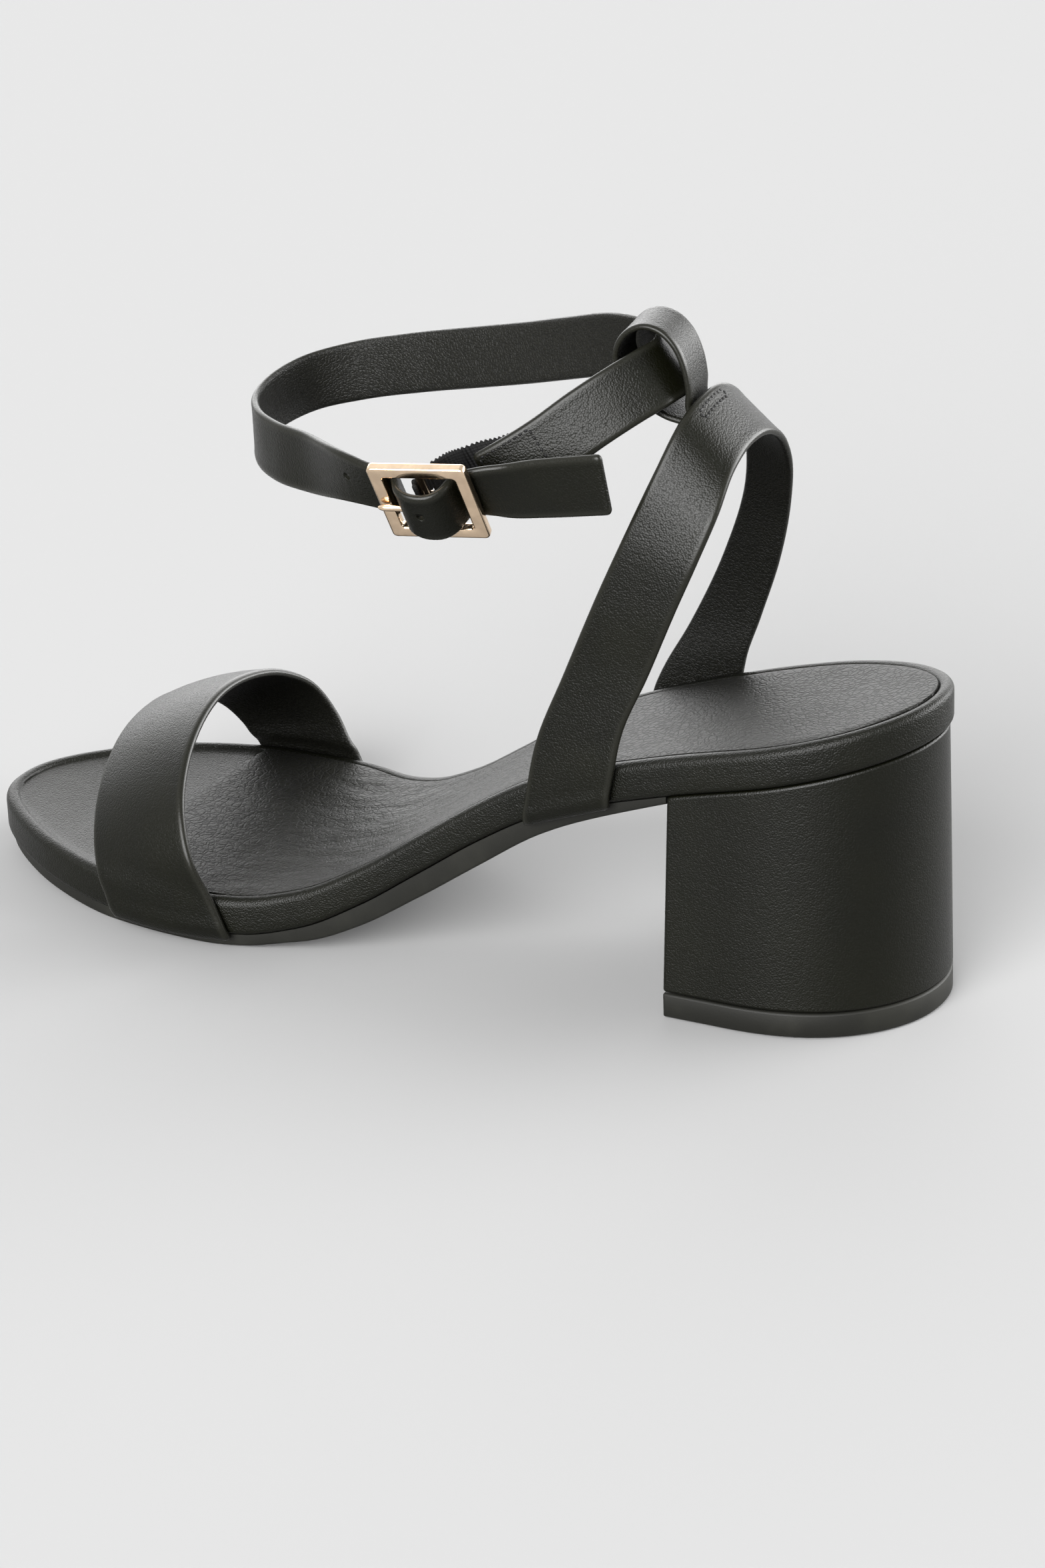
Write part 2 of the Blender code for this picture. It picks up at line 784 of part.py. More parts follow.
def make_loop(parts):
    """Keeper loop sewn under the quarter arch's crest, round the ankle strap."""
    corner, along, out = loop_frame()
    length = LOOP_LENGTH
    depth = LOOP_DEPTH
    outer = -GAP - LOOP_SEAT - LOOP_THICK
    inner = outer - GAP
    # place along the crest's line, and height off it, of the strip's inner face
    path = (
        (LOOP_TAIL, outer),
        (0.4 * LOOP_TAIL, outer),
        (-0.02 * length, outer + 0.07 * depth),
        (-0.18 * length, outer + 0.38 * depth),
        (-0.40 * length, outer + 0.67 * depth),
        (-0.61 * length, outer + 0.81 * depth),
        (-0.79 * length, outer + 0.79 * depth),
        (-0.94 * length, outer + 0.60 * depth),
        (-1.00 * length, outer + 0.31 * depth),
        (-0.99 * length, outer + 0.02 * depth),
        (-0.91 * length, outer - 0.24 * depth),
        (-0.70 * length, outer - 0.42 * depth),
        (-0.42 * length, outer - 0.44 * depth),
        (-0.16 * length, outer - 0.30 * depth),
        (0.4 * LOOP_TAIL, inner),
        (LOOP_TAIL, inner),
    )
    middle = Vector((0.0, -0.05 * QUARTER_SPAN, 0.0))
    across = Vector((-0.19, 0.98, 0.0)).normalized() * (LOOP_WIDTH / 2)
    near = []
    far = []
    for s, h in path:
        p = corner + along * s + out * h + middle
        near.append(p - across)
        far.append(p + across)
    return make_band("keeper_loop", LEATHER, parts, far, near, LOOP_THICK, 3, 2)


def buckle_axes():
    """The buckle's centre and its axes: along the strap, outward, up the strap."""
    centre = Vector((BACK_X - BUCKLE_PLACE, -BUCKLE_SIDE, RING_HEIGHT - BUCKLE_DROP))
    along = Vector((0.99, 0.11, 0.08)).normalized()
    up = Vector((-0.02, -0.49, 0.87))
    up = (up - along * up.dot(along)).normalized()
    out = -up.cross(along)
    if out.y > 0:
        out = -out
    return centre, along, out, up


def ring_point(place, across, drop):
    back = BACK_X - RING_PLACE
    return Vector((back - place * RING_LENGTH, across * RING_WIDTH / 2, RING_HEIGHT - drop * RING_DROP))


def strap_rows():
    """Middle line and width direction of the whole ankle strap."""
    centre, along, out, up = buckle_axes()
    rows = []
    middles = [ring_point(*row[:3]) for row in RING_ROWS]
    for i, row in enumerate(RING_ROWS):
        before = middles[max(i - 1, 0)]
        after = middles[min(i + 1, len(middles) - 1)]
        tangent = (after - before).normalized()
        outward = Vector((-tangent.y, tangent.x, 0)).normalized()
        outward = -outward if outward.dot(tangent.cross(Vector((0, 0, 1)))) < 0 else outward
        lean = math.radians(row[3])
        width = Vector((0, 0, 1)) * math.cos(lean) + outward * math.sin(lean)
        width = (width - tangent * width.dot(tangent)).normalized()
        rows.append((middles[i], width))
    half = BUCKLE_LENGTH / 2
    under = BUCKLE_DEPTH / 2 + GAP + STRAP_THICK
    over = AXLE_RADIUS + GAP + GORE_THICK + 2 * GAP
    for place, depth, height in THROUGH_ROWS:
        lift = depth * (over if depth > 0 else under)
        rows.append((centre + along * place * half + out * lift + up * height * STRAP_WIDTH, up))
    end = rows[-1][0]
    run = (along + up * 0.31 + out * 0.10).normalized()
    for share, upright in ((0.33, 0.4), (0.67, 0.75), (1.0, 1.0)):
        width = up.lerp(Vector((0, 0.42, 1)), upright)
        width = (width - run * width.dot(run)).normalized()
        width = width + run * TAIL_SLANT * (share == 1.0)
        rows.append((end + run * TAIL_LENGTH * share, width))
    return rows


def make_ankle_strap(parts, cutters):
    """Ankle strap, one length from the gore end to the free tail."""
    rows = strap_rows()
    low = [p - w * STRAP_WIDTH / 2 for p, w in rows]
    high = [p + w * STRAP_WIDTH / 2 for p, w in rows]
    strap = make_band("ankle_strap", LEATHER, parts, low, high, STRAP_THICK, 3, 2)
    pin = BUCKLE_DEPTH / 2 + GAP + PRONG_RADIUS
    half = BUCKLE_LENGTH / 2
    quarter = math.pi / 2
    cuts = (
        ("prong_hole", (-0.49 * half, 0, pin), (0, quarter, 0), PRONG_RADIUS + HOLE_GAP, 0.0052),
        ("crest_hole", (-0.06 * half, -0.0003, pin + 0.003), (0, 0, 0), STRAP_HOLE / 2, 0.0060),
        ("front_hole", (-1.90 * half, 0.0010, -pin), (0, 0, 0), STRAP_HOLE / 2, 0.0090),
    )
    for name, place, turn, radius, depth in cuts:
        bpy.ops.mesh.primitive_cylinder_add(vertices=12, radius=radius, depth=depth)
        cutter = move_to_cutters(name, cutters)
        turned = Matrix.Rotation(turn[1], 4, "Y")
        cutter.matrix_world = buckle_matrix() @ Matrix.Translation(place) @ turned
        cut = strap.modifiers.new(name, "BOOLEAN")
        cut.operation = "DIFFERENCE"
        cut.object = cutter
    return strap


def move_to_cutters(name, cutters):
    made = bpy.context.object
    made.name = name
    for owner in list(made.users_collection):
        owner.objects.unlink(made)
    cutters.objects.link(made)
    made.hide_render = True
    made.display_type = "WIRE"
    return made


def rounded_loop(curve, length, height, corner):
    """A rectangle with rounded corners as one poly spline."""
    points = []
    for k, (sx, sy) in enumerate(((1, 1), (-1, 1), (-1, -1), (1, -1))):
        for j in range(4):
            angle = math.pi / 2 * (k + j / 3)
            points.append((sx * (length / 2 - corner) + corner * math.cos(angle),
                           sy * (height / 2 - corner) + corner * math.sin(angle)))
    line = curve.splines.new("POLY")
    line.points.add(len(points) - 1)
    for point, (x, y) in zip(line.points, points):
        point.co = (x, y, 0, 1)
    line.use_cyclic_u = True


def mesh_of(holder):
    """The evaluated mesh of a curve object, welded, with the curve removed."""
    graph = bpy.context.evaluated_depsgraph_get()
    data = bpy.data.meshes.new_from_object(holder.evaluated_get(graph))
    welded = bmesh.new()
    welded.from_mesh(data)
    bmesh.ops.remove_doubles(welded, verts=welded.verts, dist=1e-6)
    bmesh.ops.recalc_face_normals(welded, faces=welded.faces)
    welded.to_mesh(data)
    welded.free()
    bpy.data.objects.remove(holder)
    return data


def buckle_matrix():
    centre, along, out, up = buckle_axes()
    turned = Matrix((along, up, out)).transposed().to_4x4()
    return Matrix.Translation(centre) @ turned


def make_buckle(parts, cutters):
    """Flat rectangular frame with a middle bar for the gore and the prong."""
    curve = bpy.data.curves.new("buckle_outline", "CURVE")
    curve.dimensions = "2D"
    curve.fill_mode = "BOTH"
    curve.extrude = BUCKLE_DEPTH / 2 - BUCKLE_BEVEL
    curve.bevel_depth = BUCKLE_BEVEL
    curve.bevel_resolution = 1
    curve.offset = -BUCKLE_BEVEL
    rounded_loop(curve, BUCKLE_LENGTH, BUCKLE_HEIGHT, BUCKLE_CORNER)
    rounded_loop(curve, BUCKLE_LENGTH - 2 * BUCKLE_BAR, BUCKLE_HEIGHT - 2 * BUCKLE_BAR, 0.6 * BUCKLE_CORNER)
    holder = bpy.data.objects.new("buckle_outline", curve)
    parts.objects.link(holder)
    bpy.context.view_layer.update()
    frame = place_object("buckle_frame", mesh_of(holder), GOLD, parts)
    frame.matrix_world = buckle_matrix()
    bpy.ops.mesh.primitive_cylinder_add(vertices=16, radius=AXLE_RADIUS, depth=BUCKLE_HEIGHT - BUCKLE_BAR)
    bar = move_to_cutters("bar_tool", cutters)
    bar.matrix_world = buckle_matrix() @ Matrix.Rotation(math.pi / 2, 4, "X")
    join = frame.modifiers.new("middle_bar", "BOOLEAN")
    join.operation = "UNION"
    join.object = bar
    return frame


def tube(name, look, parts, points, radius, place):
    curve = bpy.data.curves.new(name, "CURVE")
    curve.dimensions = "3D"
    curve.bevel_depth = radius
    curve.bevel_resolution = 2
    curve.use_fill_caps = True
    line = curve.splines.new("POLY")
    line.points.add(len(points) - 1)
    for point, p in zip(line.points, points):
        point.co = (*p, 1)
    holder = bpy.data.objects.new(name + "_line", curve)
    parts.objects.link(holder)
    bpy.context.view_layer.update()
    made = place_object(name, mesh_of(holder), look, parts)
    made.matrix_world = place
    return made


def make_prong(parts):
    """Round prong with its eye on the middle bar and its tip on the front bar."""
    eye = AXLE_RADIUS + GAP + PRONG_RADIUS
    points = []
    for k in range(10):
        angle = math.radians(215 + 26 * k)
        points.append((eye * math.cos(angle), 0.0, eye * math.sin(angle)))
    rest = BUCKLE_DEPTH / 2 + GAP + PRONG_RADIUS
    half = BUCKLE_LENGTH / 2
    for share, height in ((-0.34, 1.04), (-0.55, 1.02), (-0.80, 1.0), (-0.98, 0.98)):
        points.append((share * half, 0.0, rest * height))
    return tube("buckle_prong", GOLD, parts, points, PRONG_RADIUS, buckle_matrix())


def make_gore(parts, cutters):
    """Ribbed elastic from the buckle's middle bar to the inside of the strap's end."""
    centre, along, out, up = buckle_axes()
    wrap = AXLE_RADIUS + GAP
    half = BUCKLE_LENGTH / 2
    rows = []
    for k in range(5):
        angle = math.radians(110 + 40 * k)
        rows.append((centre + along * (wrap * math.cos(angle)) + out * (wrap * math.sin(angle)), up))
    rows.append((centre + along * 0.27 * half - out * 1.5 * wrap + up * 0.45 * GORE_OFFSET, up))
    rows.append((centre + along * 0.48 * half - out * 3.6 * wrap + up * 1.2 * GORE_OFFSET, up))
    strap = strap_rows()[:4]
    for i, share in ((0, 0.0), (0, 0.5), (1, 0.0), (1, 0.6)):
        place = strap[i][0].lerp(strap[i + 1][0], share)
        width = strap[i][1].lerp(strap[i + 1][1], share).normalized()
        tangent = (strap[i + 1][0] - strap[i][0]).normalized()
        inward = tangent.cross(width).normalized()
        inward = inward if inward.y > 0 else -inward
        rows.append((place + inward * (GAP + 0.0002) + width * GORE_OFFSET, width))
    low = [p - w * GORE_WIDTH / 2 for p, w in rows]
    high = [p + w * GORE_WIDTH / 2 for p, w in rows]
    gore = make_band("elastic_gore", ELASTIC, parts, high, low, GORE_THICK, 2, 2)
    reach = 2 * (AXLE_RADIUS + 2 * GAP + 2 * PRONG_RADIUS + HOLE_GAP)
    bpy.ops.mesh.primitive_cube_add(size=1)
    slot = move_to_cutters("prong_slot", cutters)
    slot.matrix_world = buckle_matrix() @ Matrix.Diagonal((reach, 2 * (PRONG_RADIUS + HOLE_GAP), reach, 1))
    cut = gore.modifiers.new("prong_slot", "BOOLEAN")
    cut.operation = "DIFFERENCE"
    cut.object = slot
    return gore


def main():
    for old in list(bpy.data.objects):
        bpy.data.objects.remove(old, do_unlink=True)
    parts = bpy.data.collections.new("block_heel_sandal")
    cutters = bpy.data.collections.new("cutters")
    for made in (parts, cutters):
        bpy.context.scene.collection.children.link(made)
    make_footbed(parts)
    make_sock(parts)
    make_outsole(parts)
    make_heel(parts)
    make_lift(parts)
    make_vamp(parts)
    make_quarter(parts)
    make_loop(parts)
    make_ankle_strap(parts, cutters)
    make_buckle(parts, cutters)
    make_prong(parts)
    make_gore(parts, cutters)


main()
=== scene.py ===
"""Dressed block heel sandal, left shoe, on a plain pale floor.

Metres, +Z up, toe to -X, outer side to -Y, origin under the heel's tread.
"""
import math
import bmesh
import bpy
from mathutils import Matrix, Vector


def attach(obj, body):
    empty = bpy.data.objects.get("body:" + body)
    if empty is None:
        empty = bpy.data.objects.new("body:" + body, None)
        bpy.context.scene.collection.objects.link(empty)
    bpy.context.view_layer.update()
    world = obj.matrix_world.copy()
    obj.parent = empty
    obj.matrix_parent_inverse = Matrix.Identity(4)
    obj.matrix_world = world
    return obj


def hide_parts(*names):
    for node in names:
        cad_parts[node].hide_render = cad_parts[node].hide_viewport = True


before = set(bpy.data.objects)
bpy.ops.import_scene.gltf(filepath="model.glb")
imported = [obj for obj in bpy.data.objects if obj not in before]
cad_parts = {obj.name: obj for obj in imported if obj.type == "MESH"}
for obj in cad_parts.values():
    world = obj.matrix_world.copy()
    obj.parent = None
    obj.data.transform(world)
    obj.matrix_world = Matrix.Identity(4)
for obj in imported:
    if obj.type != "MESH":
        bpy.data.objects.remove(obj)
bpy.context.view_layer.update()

bl_info = {
    "name": "Block heel sandal",
    "version": (1, 0, 0),
    "blender": (4, 5, 0),
    "location": "3D View > Sidebar > Sandal",
    "description": "Builds a dressed block heel sandal piece by piece",
    "category": "Add Mesh",
}

# Clearances
GAP = 0.0003
STRAP_GAP = 0.0004
HOLE_GAP = 0.0004
FLOOR_DROP = 0.0002
FLOOR_REACH = 4.0
FLOOR_ROUGH = 0.85

# Sole
SOLE_LENGTH = 0.236
SEAT_WIDTH = 0.0552
WAIST_WIDTH = 0.0497
BALL_WIDTH = 0.0806
BED_THICK = 0.0088
BED_DISH = 0.0012
RIM_RISE = 0.0006
RIM_INSET = 0.0019
BED_FOOT_ROUND = 0.0013
BED_TOP_ROUND = 0.0020
HEEL_HEIGHT = 0.0645
TOE_SPRING = 0.0018
OUTSOLE_THICK = 0.0029
WAIST_THICK = 0.0060
OUTSOLE_INSET = 0.0012
SOCK_THICK = 0.0008
SOCK_LENGTH = 0.1905
SOCK_BOW = 0.0040
HEEL_LENGTH = 0.0525
HEEL_INSET = 0.0008
HEEL_FLARE = 0.0034
HEEL_BACK_FLARE = 0.0009
BREAST_SLOPE = 0.0003
LIFT_THICK = 0.0058
TREAD_ROUND = 0.0006
TREAD_EASE = 0.0007
BLOCK_ROUND = 0.0007
FLEX_X = -0.118

# Straps
VAMP_PLACE = 0.1718
VAMP_SKEW = 0.0055
VAMP_WIDTH = 0.0290
VAMP_FRONT_RISE = 0.0212
VAMP_BACK_RISE = 0.0320
VAMP_LEAN = 0.40
VAMP_THICK = 0.0019
VAMP_BOW = 0.0013
TUCK = 0.0008
FOOT_ROUND = 0.0013
QUARTER_PLACE = 0.0768
QUARTER_SKEW = -0.0055
QUARTER_FOOT_WIDTH = 0.0212
QUARTER_WIDTH = 0.0148
QUARTER_SPAN = 0.0502
QUARTER_RISE = 0.0757
QUARTER_REACH = 0.0280
QUARTER_SLOPE = 43.0
QUARTER_LEAN = 0.20
QUARTER_THICK = 0.0018
LOOP_WIDTH = 0.0132
LOOP_THICK = 0.0014
LOOP_LENGTH = 0.0200
LOOP_DEPTH = 0.0106
LOOP_SEAT = 0.0022
LOOP_TAIL = 0.0055
LOOP_SHIFT = 0.0003
LOOP_SIDE = -0.05
LOOP_ACROSS = (-0.13, 0.98, 0.0)
RING_LENGTH = 0.1003
RING_WIDTH = 0.0580
RING_PLACE = 0.0630
RING_HEIGHT = 0.1402
RING_DROP = 0.0290
STRAP_WIDTH = 0.0136
STRAP_THICK = 0.0018
TAIL_LENGTH = 0.0252
TAIL_SLANT = 0.10
TAIL_RISE = 0.22
TAIL_UP = (0.0, -0.10, 1.0)
STRAP_HOLE = 0.0017
HOLE_ACROSS = 0.56
PRONG_HOLE = 0.49
CREST_HOLE = 0.848
SPARE_HOLE = 0.773
HOLE_DEPTH = 0.0060
PIN_HOLE_DEPTH = 0.0052

# Pieces between the rows at a strap's foot, from the tuck up
FOOT_PIECES = [3, 3, 3, 4]

# A strap's section: its edge's round, its face's sinking and its ribs' depth are
# shares of the wall
EDGE_ROUND = 0.62
FACE_SINK = 0.055
RIM_SCALE = 200.0
RIB_DEPTH = 0.38
RIB_INSET = 0.00045

# Seams, set in from the strap's middle, ends and edges
CREST_SEAM_FRONT = 0.0068
CREST_SEAM_BACK = 0.0042
CREST_SEAM_HIGH = 0.0018
CREST_SEAM_LOW = 0.0036
END_SEAM_START = 0.0015
END_SEAM_STOP = 0.0142
END_SEAM_HIGH = 0.0014
END_SEAM_LOW = 0.0020

# Buckle and elastic
BUCKLE_PLACE = 0.1023
BUCKLE_SIDE = 0.0362
BUCKLE_DROP = 0.0254
BUCKLE_LENGTH = 0.0222
BUCKLE_HEIGHT = 0.0218
BUCKLE_BAR = 0.0030
BUCKLE_DEPTH = 0.0022
BUCKLE_CORNER = 0.0012
BUCKLE_BEVEL = 0.0006
BUCKLE_ALONG = (0.99, 0.11, 0.08)
BUCKLE_UP = (-0.02, -0.49, 0.87)
AXLE_RADIUS = 0.0009
PRONG_RADIUS = 0.00075
GORE_WIDTH = 0.0128
GORE_THICK = 0.0011
GORE_OFFSET = 0.0026
GORE_SEAT = GAP + 0.0002

# Materials that the panel doesn't set
LEATHER_SPECULAR = 0.17
NOISE_ROUGH = 0.55

BACK_X = HEEL_LENGTH / 2 + HEEL_INSET
BREAST_X = BACK_X - HEEL_INSET - HEEL_LENGTH

# Outline from heel to toe: place, the width it follows, lateral and medial shares
OUTLINE = (
    (0.00, SEAT_WIDTH, 0.500, 0.465),
    (0.07, SEAT_WIDTH, 0.508, 0.488),
    (0.15, SEAT_WIDTH, 0.502, 0.500),
    (0.25, WAIST_WIDTH, 0.556, 0.522),
    (0.36, WAIST_WIDTH, 0.545, 0.470),
    (0.48, WAIST_WIDTH, 0.590, 0.512),
    (0.60, BALL_WIDTH, 0.432, 0.424),
    (0.70, BALL_WIDTH, 0.482, 0.522),
    (0.80, BALL_WIDTH, 0.462, 0.530),
    (0.89, BALL_WIDTH, 0.415, 0.486),
    (0.96, BALL_WIDTH, 0.350, 0.412),
    (1.00, BALL_WIDTH, 0.310, 0.360),
)
HEEL_ROUND = (0.162, 2.07)
TOE_ROUND = (0.275, 2.36)

# Side view of the footbed's underside: place, share of the rise, of the spring
PROFILE = (
    (0.00, 1.000, 0.0),
    (0.12, 0.884, 0.0),
    (0.24, 0.768, 0.0),
    (0.36, 0.610, 0.0),
    (0.42, 0.478, 0.0),
    (0.48, 0.320, 0.0),
    (0.54, 0.166, 0.0),
    (0.60, 0.052, 0.0),
    (0.655, 0.006, 0.0),
    (0.70, 0.000, 0.0),
    (0.80, 0.000, 0.0),
    (0.90, 0.000, 0.55),
    (1.00, 0.000, 1.0),
)

# Outsole thickness: place, share of the forefoot's and of the waist's own
OUTSOLE_PROFILE = (
    (0.20, 0.0, 0.22),
    (0.32, 0.0, 0.60),
    (0.44, 0.0, 1.00),
    (0.54, 0.0, 0.86),
    (0.64, 1.0, 0.00),
    (0.90, 1.0, 0.00),
    (1.00, 0.9, 0.00),
)

# Vamp arch, lateral to medial: share of the half width and of the rise
VAMP_FRONT = (
    (-0.965, 0.12),
    (-0.885, 0.32),
    (-0.710, 0.60),
    (-0.440, 0.85),
    (-0.020, 1.00),
    (0.340, 0.945),
    (0.620, 0.770),
    (0.820, 0.505),
    (0.925, 0.240),
    (0.965, 0.080),
)
VAMP_BACK = (
    (-1.010, 0.10),
    (-1.030, 0.28),
    (-0.940, 0.56),
    (-0.710, 0.80),
    (-0.180, 1.00),
    (0.280, 0.945),
    (0.630, 0.785),
    (0.870, 0.560),
    (0.960, 0.300),
    (0.975, 0.080),
)

# Quarter arch, lateral to medial: share of the half span, of the rise, and of
# the reach backwards for the front edge and for the back edge
QUARTER_ARCH = (
    (-1.02, 0.11, 0.06, 0.07),
    (-1.05, 0.33, 0.295, 0.365),
    (-1.03, 0.56, 0.56, 0.67),
    (-0.96, 0.73, 0.76, 0.89),
    (-0.80, 0.865, 0.90, 1.02),
    (-0.52, 0.970, 0.98, 1.03),
    (-0.18, 1.00, 1.00, 1.00),
    (0.16, 0.995, 1.00, 1.00),
    (0.46, 0.945, 1.00, 1.00),
    (0.74, 0.83, 0.97, 0.96),
    (0.93, 0.65, 0.90, 0.82),
    (1.02, 0.43, 0.66, 0.59),
    (1.04, 0.21, 0.33, 0.27),
    (1.00, 0.07, 0.09, 0.07),
)

# Keeper loop: share of its length along the crest and of its depth off it
LOOP_ROWS = (
    (-0.02, 0.07),
    (-0.18, 0.38),
    (-0.40, 0.67),
    (-0.61, 0.81),
    (-0.79, 0.79),
    (-0.94, 0.60),
    (-1.00, 0.31),
    (-0.99, 0.02),
    (-0.91, -0.24),
    (-0.70, -0.42),
    (-0.42, -0.44),
    (-0.16, -0.30),
)

# Ankle ring from the gore end to the buckle: share of the length forward of
# the loop, of the half width, of the drop, and the outward lean in degrees
RING_ROWS = (
    (0.300, -0.900, 0.800, 0),
    (0.250, -0.870, 0.695, -5),
    (0.175, -0.790, 0.520, -13),
    (0.105, -0.660, 0.325, -20),
    (0.042, -0.480, 0.170, -27),
    (-0.002, -0.280, 0.075, -33),
    (-0.014, -0.100, 0.045, -35),
    (0.014, 0.060, 0.030, -30),
    (0.058, 0.165, 0.040, -20),
    (0.160, 0.310, 0.092, -3),
    (0.310, 0.520, 0.252, 9),
    (0.440, 0.680, 0.397, 14),
    (0.575, 0.800, 0.530, 12),
    (0.750, 0.880, 0.684, 7),
    (0.885, 0.830, 0.795, 3),
    (0.968, 0.640, 0.862, 0),
    (0.999, 0.320, 0.905, 0),
    (0.992, -0.020, 0.945, 0),
    (0.940, -0.330, 0.950, 0),
    (0.850, -0.600, 0.935, -3),
    (0.740, -0.810, 0.895, 0),
)

# The strap through the buckle: share of the buckle's half length, of the stack
# over its bars, the height off the middle as a share of the strap's width, and
# how far the strap has turned upright
THROUGH_ROWS = (
    (-1.55, -1.70, 0.06, 0.35),
    (-1.15, -1.25, 0.06, 0.12),
    (-0.86, -1.05, 0.05, 0.00),
    (-0.66, -1.00, 0.04, 0.00),
    (-0.52, -0.66, 0.03, 0.00),
    (-0.43, 0.10, 0.02, 0.00),
    (-0.34, 0.76, 0.02, 0.00),
    (-0.18, 1.12, 0.00, 0.00),
    (0.02, 1.22, -0.02, 0.00),
    (0.22, 1.08, -0.03, 0.00),
    (0.36, 0.60, -0.03, 0.00),
    (0.46, -0.20, -0.02, 0.00),
    (0.56, -0.80, -0.01, 0.00),
    (0.70, -1.00, 0.00, 0.00),
    (0.86, -1.05, 0.01, 0.05),
    (1.12, -1.12, 0.01, 0.25),
    (1.50, -1.12, 0.01, 0.55),
)

# The elastic behind the bar: share of the buckle's half length, depth in radii of
# its turn round the bar, and share of the offset up the strap
GORE_BEND = (
    (0.08, 2.3, 0.35),
    (0.36, 3.9, 0.80),
)

# The elastic on the strap's end: row, share to the next row, share of the offset
GORE_JOIN = (
    (0, 0.0, 0.9),
    (0, 0.5, 0.7),
    (1, 0.0, 0.4),
    (1, 0.6, 0.0),
)

# Soft glows of the room: setting, the way to it, cosines of its outer and inner limits
GLOWS = (
    ("back_light", (-0.50, 0.84, 0.24), 0.76, 0.975),
    ("toe_light", (-0.75, 0.10, 0.65), 0.70, 0.96),
    ("heel_light", (0.78, 0.62, 0.08), 0.70, 0.96),
    ("front_light", (0.00, -0.90, 0.43), 0.86, 0.965),
)


def smooth(rows, place, column):
    """Monotone cubic through one column of a table whose first column is the place."""
    xs = [row[0] for row in rows]
    ys = [column(row) for row in rows]
    count = len(xs)
    steps = [xs[i + 1] - xs[i] for i in range(count - 1)]
    slopes = [(ys[i + 1] - ys[i]) / steps[i] for i in range(count - 1)]
    tangents = [slopes[0]]
    for i in range(1, count - 1):
        if slopes[i - 1] * slopes[i] <= 0:
            tangents.append(0.0)
            continue
        first = 2 * steps[i] + steps[i - 1]
        second = steps[i] + 2 * steps[i - 1]
        tangents.append((first + second) / (first / slopes[i - 1] + second / slopes[i]))
    tangents.append(slopes[-1])
    place = min(max(place, xs[0]), xs[-1])
    i = 0
    while i < count - 2 and place > xs[i + 1]:
        i += 1
    t = (place - xs[i]) / steps[i]
    a = ys[i] * (1 + 2 * t) * (1 - t) ** 2 + steps[i] * tangents[i] * t * (1 - t) ** 2
    b = ys[i + 1] * t * t * (3 - 2 * t) + steps[i] * tangents[i + 1] * t * t * (t - 1)
    return a + b


def end_round(share, corner):
    reach, power = corner
    t = min(max(1 - share / reach, 0.0), 1.0)
    return (1 - t ** power) ** (1 / power)


def sole_share(x):
    return (BACK_X - x) / SOLE_LENGTH


def half_width(share, side):
    """Half width of the footbed on one side, -1 lateral or 1 medial."""
    column = 2 if side < 0 else 3
    width = smooth(OUTLINE, share, lambda row: row[1] * row[column])
    return width * end_round(share, HEEL_ROUND) * end_round(1 - share, TOE_ROUND)


def outline_point(turn, side):
    share = 0.5 * (1 - math.cos(math.pi * turn))
    return Vector((BACK_X - SOLE_LENGTH * share, side * half_width(share, side)))


def edge_point(turn, side, inset):
    """Point of the outline moved in by the inset, along the outline's normal."""
    point = outline_point(turn, side)
    if turn <= 0:
        return point + Vector((-inset, 0))
    if turn >= 1:
        return point + Vector((inset, 0))
    ahead = outline_point(min(turn + 0.004, 1), side)
    behind = outline_point(max(turn - 0.004, 0), side)
    tangent = (ahead - behind).normalized()
    normal = Vector((tangent.y, -tangent.x)) * side
    return point + normal * -inset if normal.y * side > 0 else point + normal * inset


def bed_under(x):
    share = sole_share(x)
    rise = smooth(PROFILE, share, lambda row: row[1]) * (HEEL_HEIGHT - OUTSOLE_THICK - GAP)
    spring = smooth(PROFILE, share, lambda row: row[2]) * TOE_SPRING
    return OUTSOLE_THICK + GAP + rise + spring


def dish(x, y):
    """Share of the dish's depth, nothing at the footbed's edge and all at its middle."""
    share = min(max(sole_share(x), 0.02), 0.98)
    side = -1 if y < 0 else 1
    across = min(abs(y) / half_width(share, side), 1.0)
    return (1 - across ** 2.5) * min(share, 1 - share, 0.1) / 0.1


def bed_top(x, y):
    return bed_under(x) + BED_THICK - BED_DISH * dish(x, y)


def outsole_thick(x):
    share = sole_share(x)
    front = smooth(OUTSOLE_PROFILE, share, lambda row: row[1]) * OUTSOLE_THICK
    return front + smooth(OUTSOLE_PROFILE, share, lambda row: row[2]) * WAIST_THICK


def turn_of(x):
    """The outline's turn at which its plan position is x."""
    share = min(max(sole_share(x), 0.0), 1.0)
    return math.acos(1 - 2 * share) / math.pi


def wall_y(x, side, clear):
    return side * (half_width(sole_share(x), side) + clear)


